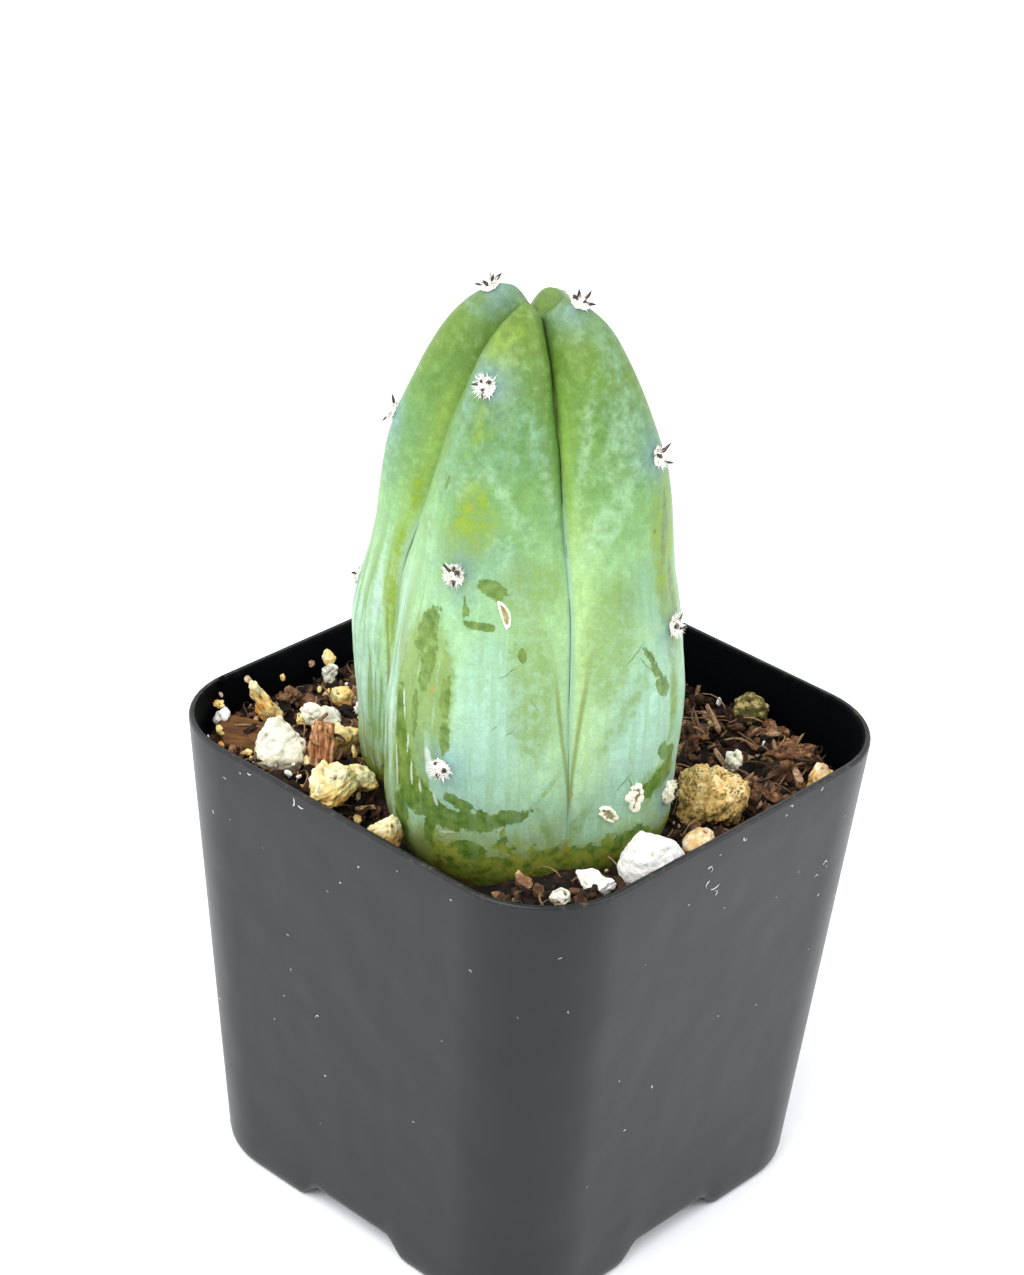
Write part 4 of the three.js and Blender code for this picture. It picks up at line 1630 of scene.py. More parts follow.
    def blank(self) -> Shape:
        """Makes the grid that is rolled into the stem: a column a unit along X, a ring along Y.

        Returns:
            The grid.
        """
        shape = bmesh.new()
        columns = self.rib_columns * len(self.ribs)
        half = Vector((columns / 2, self.rings / 2, 1.0))
        bmesh.ops.create_grid(shape, x_segments=columns, y_segments=self.rings, size=1.0)
        bmesh.ops.scale(shape, verts=shape.verts[:], vec=half)
        bmesh.ops.translate(shape, verts=shape.verts[:], vec=(half.x, half.y, 0.0))
        return shape

    def along(self, ring: int) -> float:
        """Spaces the rings, most of them above the soil.

        Args:
            ring: The ring's number.

        Returns:
            How far from the crown to the foot it is.
        """
        if ring <= self.soil_rings:
            return self.soil_share * ring / self.soil_rings
        return mixed(self.soil_share, 1.0, (ring - self.soil_rings) / (self.rings - self.soil_rings))

    def roll(self, shape: Shape) -> None:
        """Rolls the grid into the ribbed stem and writes how far each point is out of its groove.

        Args:
            shape: The grid.
        """
        half = self.rib_columns // 2
        lines = [self.ring_lines(self.along(ring)) for ring in range(self.rings + 1)]
        rise_layer = shape.verts.layers.float.new("rise")
        uv_layer = shape.loops.layers.uv.new("UVMap")
        around = {}
        for vert in shape.verts:
            ring = round(vert.co.y)
            rib, step = divmod(round(vert.co.x), self.rib_columns)
            falling = step > half
            side = (self.rib_columns - step if falling else step) / half
            side **= self.groove_crowding
            turn = rib + (1 - side / 2 if falling else side / 2)
            around[vert] = (turn / len(self.ribs), ring / self.rings)
            place, rise = self.point(rib % len(self.ribs), side, falling, lines[ring])
            vert[rise_layer] = rise
            vert.co = place * MM
        for face in shape.faces:
            for loop in face.loops:
                loop[uv_layer].uv = around[loop.vert]
        bmesh.ops.remove_doubles(shape, verts=shape.verts[:], dist=1e-7)
        face_outwards(shape)

    def age(self, shape: Shape, wool: Sequence[Vector]) -> None:
        """Makes the skin uneven, with fine pleats low on its left, and marks where wool is near.

        Args:
            shape: The stem.
            wool: The middle of each areole, in metres.
        """
        wool_layer = shape.verts.layers.float.new("near_wool")
        pleat_layer = shape.verts.layers.float.new("pleated")
        shape.normal_update()
        for vert in shape.verts:
            z = vert.co.z / MM
            swell = 0.22 * noise.noise(vert.co * per(8.0)) + 0.05 * noise.noise(vert.co * per(2.2))
            angle = atan2(vert.co.y - self.axis[1] * MM, vert.co.x - self.axis[0] * MM)
            pleat = noise.noise(Vector((angle * 16, z / 11, 0.0)))
            low = eased((88 - z) / 16) * eased((-1.55 - angle) / 0.45)
            vert[pleat_layer] = low
            vert.co += vert.normal * (swell * eased((110 - z) / 6) + 0.3 * pleat * low) * MM
            away = min((vert.co - spot).length for spot in wool) / MM
            vert[wool_layer] = exp(-((away / 3.0) ** 2))

    def mark(self, shape: Shape, skin: Skin) -> None:
        """Writes how far each point is from the edge of the nearest mark of each carried kind.

        The distance is in units of how far the mark's edge is torn, and below nought inside it.

        Args:
            shape: The stem.
            skin: Its surface.
        """
        shape.verts.ensure_lookup_table()
        tree = KDTree(len(shape.verts))
        for vert in shape.verts:
            tree.insert(vert.co, vert.index)
        tree.balance()
        for kind in CARRIED:
            layer = shape.verts.layers.float.new(kind.layer)
            for vert in shape.verts:
                vert[layer] = FAR_OFF
            for mark in MARKS[kind]:
                place, turned = skin.frame(mark.turn, mark.height, mark.tilt)
                flat = turned.transposed()
                size = sqrt(mark.across * mark.up)
                reach = min(1.1, size * (0.8 if kind.soft else 0.45))
                span = (max(mark.across, mark.up) * 1.6 + 4) * MM
                for spot, index, _ in tree.find_range(place, span):
                    local = flat @ (spot - place) / MM
                    share = hypot(local.x / mark.across, local.y / mark.up, local.z / skin.depth)
                    vert = shape.verts[index]
                    vert[layer] = min(vert[layer], (share - 1) * size / reach)

    def build(self, wool: Sequence[Vector], finish: WaxySkin) -> Skin:
        """Builds the stem.

        Args:
            wool: The middle of each areole, in metres.
            finish: Its finish.

        Returns:
            Its surface.
        """
        shape = self.blank()
        self.roll(shape)
        self.age(shape, wool)
        skin = Skin(Vector((*self.axis, 0)) * MM, BVHTree.FromBMesh(shape))
        self.mark(shape, skin)
        make_piece("candle_stem", shape, [finish.material(skin)], ["cactus_stem"])
        return skin


@dataclass(frozen=True)
class Spine:
    """One spine: its direction round the areole from the crown side, its lean, its length, and
    where its root is on the pad, across and up."""

    clock: float
    lean: float
    length: float
    across: float = 0.0
    up: float = 0.0
    radius: float = 0.24


ROUND_SPINES = (
    Spine(20, 58, 1.3, -0.15, 0.42), Spine(110, 62, 1.1, -0.42, -0.15), Spine(200, 55, 1.0, 0.15, -0.42),
    Spine(290, 60, 1.2, 0.42, 0.15), Spine(60, 14, 1.1),
)


@dataclass(frozen=True)
class Areole:
    """One areole: a pad of wool on a rib's crest, with its spines, or healed over with cork."""

    name: str
    rib: int
    height: float
    spines: tuple[Spine, ...] = ROUND_SPINES
    radius: float = 1.04
    thick: float = 0.52
    strands: int = 130
    strand_length: float = 0.68
    strand_radius: float = 0.055
    healed: bool = False

    def pad(self, shape: Shape, frame: Matrix, seed: float) -> None:
        """Makes the lumpy pad of wool.

        Args:
            shape: The areole's shape.
            frame: Places the areole on the skin.
            seed: Sets its lumps.
        """
        dark_hollows = shape.verts.layers.float["dark_hollows"]
        pad = bmesh.ops.create_icosphere(shape, subdivisions=4, radius=1.0)["verts"]
        for vert in pad:
            at = vert.co.copy()
            lump = noise.noise(at * 3.1 + Vector((seed, 0, 0)))
            fine = noise.noise(at * 7.3 + Vector((0, seed, 0)))
            grow = 0.92 + 0.26 * lump + 0.16 * fine
            # How dark the pad is painted at each point: more in the hollows between its lumps, as painted
            # shade, and less on a healed pad.
            vert[dark_hollows] = clamped(-1.6 * lump - 1.0 * fine - 0.1) * (0.3 if self.healed else 1.0)
            vert.co = Vector((at.x * self.radius, at.y * self.radius, at.z * self.thick)) * grow * MM
        bmesh.ops.transform(shape, matrix=frame, verts=pad)

    def fluff(self, heap: Heap, frame: Matrix, draw: random.Random) -> None:
        """Combs short strands of wool out of the pad.

        Args:
            heap: The areole's heap of bits.
            frame: Places the areole on the skin.
            draw: Random numbers.
        """
        for _ in range(self.strands):
            turn = draw.uniform(0, 2 * pi)
            rise = radians(draw.triangular(4, 85, 12))
            out = Vector((cos(turn) * cos(rise), sin(turn) * cos(rise), sin(rise)))
            root = Vector((out.x * self.radius, out.y * self.radius, out.z * self.thick)) * 0.82
            length = self.strand_length * draw.uniform(0.6, 1.25)
            bend = Vector((draw.uniform(-1, 1), draw.uniform(-1, 1), draw.uniform(-0.2, 0.6))) * length * 0.35
            path = [root, root + out * length * 0.5 + bend * 0.3, root + out * length + bend]
            width = self.strand_radius * draw.uniform(0.7, 1.3)
            draw_strand(heap.lot(), [frame @ (p * MM) for p in path], [width * MM, width * 0.8 * MM], 3)

    def prick(self, shape: Shape, frame: Matrix) -> None:
        """Sets the spines in the pad.

        Args:
            shape: The areole's shape.
            frame: Places the areole on the skin.
        """
        tint = shape.verts.layers.float["tint"]
        for spine in self.spines:
            clock, lean = radians(spine.clock), radians(spine.lean)
            across, up = -sin(clock) * sin(lean), cos(clock) * sin(lean)
            out = Vector((across, up, cos(lean)))
            sag = Vector((0, 0, -0.12 * spine.length))
            root = Vector((spine.across, spine.up, self.thick * 0.45))
            steps = (0.0, 0.3, 0.65, 1.0)
            reach = spine.length + 0.25
            path = [root + out * reach * s + sag * s * s * sin(lean) for s in steps]
            radii = [spine.radius * w * MM for w in (1.0, 0.86, 0.5)]
            first = len(shape.faces)
            made = draw_strand(shape, [frame @ (p * MM) for p in path], radii, 8)
            for number, vert in enumerate(made):
                vert[tint] = 1.0 - (number // 8) * 0.45
            shape.faces.ensure_lookup_table()
            for face in shape.faces[first:]:
                face.material_index = 1

    def build(self, stem: Stem, finishes: Sequence[Finish], number: int) -> None:
        """Builds the areole on the stem.

        Args:
            stem: The stem.
            finishes: The materials of its wool and its spines.
            number: The areole's number, which sets its lumps and strands.
        """
        place, turned = stem.crest_frame(self.rib, self.height)
        frame = Matrix.Translation(place + turned.col[2] * 0.15 * MM) @ turned.to_4x4()
        heap = Heap("dark_hollows", "tint")
        self.pad(heap.lot(), frame, float(number))
        heap.pour()
        self.fluff(heap, frame, random.Random(number))
        self.prick(heap.lot(), frame)
        make_piece(f"wool_{self.name}", heap.finished(), finishes, [f"areole_{self.name}"])


AREOLES = (
    Areole("left_1", 0, 111.1, (
        Spine(335, 61, 1.1, -0.42, 0.7), Spine(275, 41, 1.1, 0.55, -0.05), Spine(328, 44, 1.2, 0.1, 0.3),
        Spine(95, 66, 1.2, -0.6, 0), Spine(190, 58, 1, 0, -0.5),
    )),
    Areole("left_2", 0, 95.5, (
        Spine(115, 51, 1.4, -0.25, 0.2), Spine(20, 60, 1.2, 0, 0.5), Spine(215, 60, 1, 0.2, -0.5),
    )),
    Areole("left_3", 0, 75, (
        Spine(112, 53, 1.4, -0.2, 0.3), Spine(154, 58, 1.4, -0.1, -0.35), Spine(300, 60, 1, 0.4, 0.2),
    )),
    Areole("left_4", 0, 57.5, (), 0.7, 0.3, 40, 0.25),
    Areole("front_1", 1, 103.5, (
        Spine(295, 27, 0.7, -0.49, 0.45), Spine(293, 39, 0.85, 0.35, 0.5, 0.3),
        Spine(265, 33, 0.8, -0.12, -0.3), Spine(235, 40, 0.7, 0.1, -0.75), Spine(110, 55, 0.6, -0.7, 0.1),
    )),
    Areole("front_2", 1, 84.4, (
        Spine(21, 43, 1.4, -0.4, 0.35), Spine(305, 50, 0.9, 0.35, 0.35, 0.32), Spine(240, 35, 1.1, 0.1, -0.5),
        Spine(335, 52, 0.9, 0, 0.5),
    )),
    Areole("front_3", 1, 63, (
        Spine(316, 48, 0.8, 0.45, 0, 0.34), Spine(260, 30, 0.8, -0.35, -0.55, 0.26),
        Spine(328, 44, 0.7, -0.6, 0.5, 0.2),
    )),
    Areole("right_1", 2, 110.8, (
        Spine(65, 51, 1.2, -0.3, 0.4, 0.3), Spine(44, 27, 1.3, 0.1, 0.3), Spine(280, 46, 1.2, 0.55, -0.3),
        Spine(102, 47, 0.8, 0.1, -0.3, 0.3), Spine(200, 60, 0.9, 0.1, -0.6),
    )),
    Areole("right_2", 2, 96.2, (
        Spine(330, 40, 1.4, 0.33, 0.3), Spine(57, 78, 0.9, -0.25, 0.1, 0.32), Spine(235, 46, 1.2, 0.1, -0.6),
        Spine(15, 62, 1, 0, 0.5),
    )),
    Areole("right_3", 2, 77.5, (
        Spine(68, 60, 1, -0.2, 0, 0.36), Spine(250, 48, 1, 0.3, -0.4), Spine(330, 55, 0.9, 0.3, 0.4),
    )),
    Areole("right_4", 2, 57.5, (), 1.3, 0.6, 90, 0.5, 0.09, True),
    Areole("back_1", 3, 109, (), 0.7, 0.3, 40, 0.25),
    Areole("back_2", 3, 88.5),
    Areole("back_3", 3, 68.5),
)


@dataclass(frozen=True)
class Scar:
    """A corky scar on the skin: its place, half sizes and how jagged its lips are, how far its
    floor reaches, and how its crevice swings and is turned."""

    name: str
    turn: float
    height: float
    across: float
    up: float
    tilt: float
    bend: float = 0.0
    jag: float = 0.25
    lip: float = 0.28
    floor: float = 0.6
    swing: float = 0.2

    def build(self, skin: Skin, finish: Finish, number: int) -> None:
        """Builds the scar on the skin.

        Args:
            skin: The stem's surface.
            finish: Its material.
            number: The scar's number, which sets its outline.
        """
        shape = bmesh.new()
        dark_hollows = shape.verts.layers.float.new("dark_hollows")
        floor = shape.verts.layers.float.new("floor")
        frame_place, frame_turn = skin.frame(self.turn, self.height, self.tilt)
        dome = bmesh.ops.create_uvsphere(shape, u_segments=64, v_segments=40, radius=1.0)["verts"]
        for vert in dome:
            at = vert.co.copy()
            flat = hypot(at.x, at.y)
            turn = atan2(at.y, at.x)
            ragged = noise.noise(Vector((cos(turn) * 1.7, sin(turn) * 1.7, number * 3.3)))
            ragged += 0.5 * noise.noise(Vector((cos(turn) * 4.1, sin(turn) * 4.1, number)))
            grow = 1 + self.jag * 2 * ragged
            x = at.x * self.across * grow
            y = at.y * self.up * grow
            crust = noise.noise(Vector((x * 3.1, y * 3.1, number)))
            bed = eased((self.floor + 0.2 * crust - flat) / 0.16)
            off = abs(at.x * self.across - self.swing * sin(at.y * 3.4 + 0.6)) / self.across
            crevice = eased((0.17 + 0.1 * crust - off) / 0.12) * eased((0.86 - flat) / 0.15)
            height = self.lip * (0.35 + 0.65 * eased(at.z * 1.6)) - bed * self.lip * 0.6
            height += 0.09 * crust * eased(at.z * 3) - crevice * self.lip * 0.5
            vert[floor] = clamped(bed * 1.1)
            vert[dark_hollows] = clamped(crevice * 0.9 - 0.1)
            x += self.bend * (1 - (at.y * grow) ** 2)
            flat_place = frame_place + frame_turn @ (Vector((x, y, 0)) * MM)
            lift = height if at.z > 0 else -0.12
            vert.co = skin.outwards(flat_place, lift * MM)
        face_outwards(shape)
        make_piece(self.name, shape, [finish])


SCARS = (
    Scar("scar_sausage", -60.5, 81.2, 0.5, 1.5, 22, 0.3, 0.05, 0.2, 0.74, 0),
    Scar("scar_diamond", -12, 57.8, 0.78, 1.35, 46, 0, 0.14, 0.24, 0.62, 0.12),
    Scar("scar_torn", -2, 59.2, 1.05, 1.7, 16, 0.25, 0.26, 0.28, 0.3, 0.42),
)


@dataclass(frozen=True)
class Ground:
    """The potting mix's surface, and the room that the pot leaves it."""

    pot: Pot
    level: float = 51.0
    fall: Pair = (0.035, 0.03)
    ripple: float = 0.3
    ripple_length: Pair = (3.1, 2.7)
    mounds: tuple[Row, ...] = (
        (10, 25.5, 1.6, 5), (22, -15, 0.9, 4), (2, -26, -3.2, 9), (14, -24, -1.6, 5), (-8, -20, -1.0, 6),
        (8.5, -22, -2.7, 4),
    )

    def height(self, x: float, y: float) -> float:
        """Measures the height of the surface.

        Args:
            x: Across, in millimetres.
            y: Along, in millimetres.

        Returns:
            The height, in millimetres.
        """
        z = self.level - self.fall[0] * x - self.fall[1] * y
        z += self.ripple * sin(x / self.ripple_length[0]) * cos(y / self.ripple_length[1])
        for across, along, rise, reach in self.mounds:
            away = hypot(x - across, y - along) / reach
            z += rise * exp(-away * away)
        return z

    def over(self, x: float, y: float, lift: float = 0.0) -> Vector:
        """A place over the surface, all in millimetres."""
        return Vector((x, y, self.height(x, y) + lift))

    def rounded(self, x: float, y: float, half: float) -> Vector:
        """Moves a point of the unit square into the pot's rounded square.

        Args:
            x: Across, from minus one to one.
            y: Along, from minus one to one.
            half: The rounded square's half width, in millimetres.

        Returns:
            The point, with no height.
        """
        ring = max(abs(x), abs(y))
        corner = ring * self.pot.corner * 2 / self.pot.top
        core = ring - corner
        past_x, past_y = abs(x) - core, abs(y) - core
        if past_x > 0 and past_y > 0 and corner > 0:
            share = past_y / (2 * corner) if past_x >= past_y else 1 - past_x / (2 * corner)
            turn = share * pi / 2
            x = copysign(core + corner * cos(turn), x)
            y = copysign(core + corner * sin(turn), y)
        return Vector((x, y, 0.0)) * half

    def inside(self, x: float, y: float, room: float) -> bool:
        """Tells whether a place lies inside the pot's wall.

        Args:
            x: Across, in millimetres.
            y: Along, in millimetres.
            room: Room to leave at the wall, in millimetres.

        Returns:
            Whether it does.
        """
        half = self.pot.half(self.level) - self.pot.wall - room
        corner = self.pot.corner - room
        past_x, past_y = abs(x) - half + corner, abs(y) - half + corner
        if past_x > 0 and past_y > 0:
            return hypot(past_x, past_y) < corner
        return max(abs(x), abs(y)) < half


BITS: tuple[Row, ...] = (
    (18, -19.6, 0.6, 2.6, 0.35), (16.4, -21.2, 0.2, 1.8, 0.5), (20.2, -17.6, 0.4, 1.6, 0.3),
    (23.6, -15.4, 0.7, 2.4, 0.4), (8.2, 18.3, 0.9, 3.2, 0.55), (13.7, 25.9, 0.9, 1.6, 0.85),
    (15.1, 26.8, 0.8, 1.5, 0.8), (-26.1, -11.9, 0.9, 2.6, 0.75), (10.9, 22.6, 0.8, 2.2, 0.5),
    (2.8, 25.6, 0.8, 2.4, 0.4), (-12, -15.6, 0.6, 1.8, 0.3), (-25.6, -13.2, 1.6, 1.5, 0.85),
    (20.4, 15.4, 0.6, 1.7, 0.6), (18.6, 24.5, 0.6, 2.1, 0.5), (20.5, 16.6, 0.7, 1.7, 0.7),
    (19.6, 20.5, 0.9, 2.8, 0.6), (9.3, 16.6, 0.7, 2.6, 0.6), (6.6, 14, 0.8, 2.4, 0.62),
    (21.9, 12.8, 0.7, 2.4, 0.6), (17.2, 22.6, 0.7, 2.2, 0.56), (24.2, 16.8, 0.7, 2.2, 0.64),
    (12.6, 16, 0.5, 2, 0.5), (24.8, 8.6, 0.6, 2.2, 0.55), (3.2, 22.6, 0.6, 2.4, 0.5),
    (-28.1, -16.3, 3.6, 1, 1), (-28.2, -20.4, 3.2, 0.7, 1), (-28.3, -6.4, 2.2, 0.8, 0.9),
)
STICKS: tuple[Row, ...] = (
    (8.7, 21.2, 1.9, 4, 0.95, 62, 222), (13.2, 17.4, 1.2, 2.9, 0.85, 56, 222),
    (19.4, 14.4, 0.7, 3, 0.8, 20, 200), (21, 21.6, 0.8, 2.6, 0.9, 10, 150),
    (14.4, 25.2, 0.8, 2, 0.6, 20, 20), (-6, -19.4, 0.9, 2.4, 0.6, 10, 40),
)


@dataclass(frozen=True)
class PaleGrit:
    """Small pale crumbs on the mix: measured ones, by place, lift and size, and random ones."""

    measured: tuple[Row, ...]
    seed: int
    others: int
    sizes: Pair
    lift: float
    fine: int = 2
    tint: Pair | None = None
    sparse_right: float = 0.0


PERLITE_GRIT = PaleGrit((
    (-14.5, -22.9, 0.9, 0.9), (-13.6, -22.2, 0.9, 0.7), (-9.4, -18.8, 0.7, 0.8), (13.9, 19.2, 0.5, 0.7),
    (15, 17.6, 0.5, 0.6), (14.8, 23.3, 0.6, 0.9), (4.8, 27.2, 0.6, 0.9), (-19.5, -26, 0.8, 0.7),
    (-24.8, -25.4, 0.9, 0.6), (-28.2, -4.6, 2.6, 0.7), (-15.4, -21.4, 1, 0.6), (-28, 1, 1.4, 0.6),
), 41, 30, (0.3, 0.75), 0.3)
PUMICE_GRIT = PaleGrit((
    (-22.8, -16.9, 1.2, 1.4), (-23.6, -15.6, 0.8, 1), (-21, -15.1, 1.6, 1.2), (-13, -14.4, 0.8, 1.5),
    (-12.2, -13, 0.7, 1.1), (-15, -16, 0.9, 1.2), (-24.4, -23.9, 1.1, 1), (-25.2, -23.4, 1.1, 0.8),
    (-20.1, -23.8, 0.8, 0.8), (-19.2, -24.2, 0.7, 0.6), (-8, -18.6, 0.6, 1), (-6.1, -19.7, 0.6, 0.9),
    (-5.2, -21.3, 0.7, 1.1), (-14.9, -19.8, 0.7, 1.2), (-16.2, -20.6, 0.7, 0.9), (-27.9, -20.8, 2.2, 1.2),
    (-28.3, -11, 2, 0.8), (-24, -8, 0.8, 0.8), (-18, -8.5, 0.7, 0.9), (-20.5, -5, 0.6, 0.8),
), 43, 70, (0.4, 1.1), 0.35, 3, (0.35, 0.6), 0.6)


@dataclass
class PottingMix:
    """The potting mix: its lumpy filling, its crumbs, and the fibres and shreds on it."""

    ground: Ground
    stem: Stem
    grid: int = 210
    bottom: float = 3.5
    crumbs: int = 2600
    lumps: int = 240
    fibres: int = 260
    shreds: int = 300
    stem_room: float = 15.5
    bare: Place = (-5.0, 14.5, -17.0)

    def filling(self) -> Shape:
        """Makes the body of the mix, with its rough top and plain sides.

        Returns:
            The shape.
        """
        shape = bmesh.new()
        tint = shape.verts.layers.float.new("tint")
        bmesh.ops.create_grid(shape, x_segments=self.grid, y_segments=self.grid, size=1.0)
        half = self.ground.pot.half(self.ground.level) - self.ground.pot.wall - 0.02
        for vert in shape.verts:
            at = self.ground.rounded(vert.co.x, vert.co.y, half)
            rough = noise.fractal(at / 2.6, 0.7, 2.0, 5)
            pits = noise.noise(at / 1.1 + Vector((7, 3, 0)))
            z = self.ground.height(at.x, at.y) + 0.65 * rough - 0.25 * max(pits, 0) - 0.35
            vert[tint] = clamped(0.25 + 0.35 * rough)
            vert.co = Vector((at.x, at.y, z)) * MM
        border = [e for e in shape.edges if e.is_boundary]
        for z in (30.0, self.bottom):
            ring, border = drawn_on(shape, border)
            share = (self.ground.pot.half(z) - self.ground.pot.wall - 0.3) / half
            half *= share
            bmesh.ops.scale(shape, verts=ring, vec=(share, share, 1.0))
            for vert in ring:
                vert.co.z = z * MM
        bmesh.ops.edgeloop_fill(shape, edges=border)
        face_outwards(shape)
        return shape

    def free_place(self, draw: random.Random, room: float) -> Vector:
        """Finds a place on the mix that is clear of the stem and of the bare strip before it.

        Args:
            draw: Random numbers.
            room: Room to leave at the pot's wall, in millimetres.

        Returns:
            The place on the surface, in millimetres.
        """
        while True:
            x, y = draw.uniform(-29, 29), draw.uniform(-29, 29)
            clear = hypot(x - self.stem.axis[0], y - self.stem.axis[1]) > self.stem_room
            left, right, front = self.bare
            bare = left < x < right and y < front
            if clear and not bare and self.ground.inside(x, y, room):
                return self.ground.over(x, y)

    def crumb(
        self, shape: Shape, at: Vector, size: float, tint: float, fine: int, draw: random.Random
    ) -> None:
        """Adds one angular crumb.

        Args:
            shape: The shape that gets it.
            at: Its middle, in millimetres.
            size: Its length, in millimetres.
            tint: How light it is.
            fine: How finely its ball is divided.
            draw: Random numbers.
        """
        layer = shape.verts.layers.float["tint"]
        stain_and_shade = shape.verts.layers.float.get("stain_and_shade")
        turn = Euler([draw.uniform(0, 2 * pi) for _ in range(3)]).to_matrix().to_4x4()
        squash = Matrix.Diagonal((1.0, draw.uniform(0.5, 0.9), draw.uniform(0.35, 0.75), 1.0))
        matrix = Matrix.Translation(at * MM) @ turn @ squash
        ball = bmesh.ops.create_icosphere(
            shape, subdivisions=fine, radius=size / 2 * MM, matrix=matrix
        )["verts"]
        middle = at * MM
        shift = Vector((0, 0, draw.uniform(0, 99)))
        for vert in ball:
            out = vert.co - middle
            rough = noise.noise(out * per(0.55 * size ** 0.5) + shift) * 0.75
            vert.co = middle + out * (1 + rough + draw.uniform(-0.18, 0.2))
            vert[layer] = clamped(tint + 0.35 * rough)
            if stain_and_shade:
                vert[stain_and_shade] = vert[layer]

    def litter(self) -> Shape:
        """Strews the crumbs and lumps.

        Returns:
            The shape.
        """
        draw = random.Random(11)
        heap = Heap("tint", lot_size=60)
        for number in range(self.crumbs + self.lumps):
            small = number < self.crumbs
            size = draw.lognormvariate(-0.5, 0.42) if small else draw.uniform(1.1, 2.6)
            at = self.free_place(draw, size / 2)
            at.z += size * draw.uniform(-0.3, 0.22)
            tint = draw.betavariate(1.5, 1.7)
            if small and draw.random() < 0.03:
                tint, size = 1.0, size * 0.7
            self.crumb(heap.lot(), at, size, tint, 1 if size < 0.8 else 2, draw)
        for x, y, lift, size, tint in BITS:
            self.crumb(heap.lot(), self.ground.over(x, y, lift), size, tint, 3, draw)
        return heap.finished()

    def arc(self, at: Vector, length: float, draw: random.Random) -> list[Vector]:
        """The path of a loose fibre that bows up from where it lies.

        Args:
            at: Its foot, in millimetres.
            length: Its length, in millimetres.
            draw: Random numbers.

        Returns:
            The points, in millimetres.
        """
        heading = draw.uniform(0, 2 * pi)
        curl = draw.uniform(-1.3, 1.3) / 6
        rise = draw.uniform(0.1, 0.3) * length
        points = []
        spot = at.copy()
        for number in range(7):
            share = number / 6
            lift = rise * sin(pi * share) + 0.25
            points.append(self.ground.over(spot.x, spot.y, lift))
            heading += curl * 2
            spot += Vector((cos(heading), sin(heading), 0)) * length / 6
        return points

    def threads(self) -> Shape:
        """Strews the coir fibres.

        Returns:
            The shape.
        """
        draw = random.Random(23)
        heap = Heap("tint")
        for _ in range(self.fibres):
            length = draw.uniform(2.0, 6.5)
            path = self.arc(self.free_place(draw, 1.0), length, draw)
            if not all(self.ground.inside(p.x, p.y, 0.3) for p in path):
                continue
            width = draw.uniform(0.05, 0.15)
            light = draw.betavariate(2, 2.4)
            widths = [width * MM] * 5 + [width * 0.6 * MM]
            for vert in draw_strand(heap.lot(), [p * MM for p in path], widths, 4):
                vert[heap.current.verts.layers.float["tint"]] = light
        return heap.finished()

    def chips(self) -> Shape:
        """Strews thin shreds of bark.

        Returns:
            The shape.
        """
        draw = random.Random(37)
        heap = Heap("tint")
        for number in range(self.shreds):
            size = Vector((draw.uniform(1.2, 4.6), draw.uniform(0.45, 1.3), draw.uniform(0.15, 0.5)))
            at = self.free_place(draw, size.x / 2)
            turn = Euler((draw.uniform(-0.8, 0.8), draw.uniform(-0.8, 0.8), draw.uniform(0, 6.3)))
            at.z += draw.uniform(0.0, 0.6)
            light = draw.betavariate(2.2, 1.8)
            bend = draw.uniform(-0.7, 0.7)
            if number < len(STICKS):
                x, y, lift, length, thick, slope, heading = STICKS[number]
                size = Vector((length, thick, thick * 0.6))
                at = self.ground.over(x, y, lift)
                turn = Euler((0.0, radians(-slope), radians(heading)))
                light, bend = 0.93, 0.1
            shape = heap.lot()
            tint = shape.verts.layers.float["tint"]
            for vert in bmesh.ops.create_icosphere(shape, subdivisions=2, radius=1.0)["verts"]:
                square = [copysign(abs(c) ** 0.45, c) / 2 for c in vert.co]
                local = Vector([side * reach for side, reach in zip(square, size)])
                local *= draw.uniform(0.78, 1.14)
                local.z += bend * local.x * local.x / size.x
                local.rotate(turn)
                vert.co = (at + local) * MM
                vert[tint] = light
        return heap.finished()

    def pale_crumbs(self, grit: "PaleGrit") -> Shape:
        """Strews small crumbs of pumice or perlite.

        Args:
            grit: What they are like.

        Returns:
            The shape.
        """
        draw = random.Random(grit.seed)
        heap = Heap("tint", "dark_hollows", "stain_and_shade")
        for x, y, lift, size in grit.measured:
            tint = draw.uniform(0.0, grit.tint[0]) if grit.tint else 0.0
            self.crumb(heap.lot(), self.ground.over(x, y, lift), size, tint, grit.fine, draw)
        for _ in range(grit.others):
            size = draw.uniform(*grit.sizes)
            at = self.free_place(draw, 1.0)
            if at.x > 0 and grit.sparse_right and draw.random() < grit.sparse_right:
                continue
            at.z += grit.lift
            tint = draw.uniform(0.0, grit.tint[1]) if grit.tint else 0.0
            self.crumb(heap.lot(), at, size, tint, 2, draw)
        return heap.finished()

    def build(
        self,
        mix: Finish,
        fibre: Finish,
        white: Finish,
        pale: Finish,
    ) -> None:
        """Builds the mix and what lies loose on it.

        Args:
            mix: The material of the mix and its crumbs.
            fibre: The material of the fibres.
            white: The material of the perlite crumbs.
            pale: The material of the pumice crumbs.
        """
        make_piece("potting_mix", self.filling(), [mix], ["soil"])
        make_piece("potting_mix_crumbs", self.litter(), [mix], smooth=False)
        make_piece("coir_fibres", self.threads(), [fibre])
        make_piece("bark_shreds", self.chips(), [mix], smooth=False)
        make_piece("perlite_crumbs", self.pale_crumbs(PERLITE_GRIT), [white], smooth=False)
        make_piece("pumice_crumbs", self.pale_crumbs(PUMICE_GRIT), [pale], smooth=False)


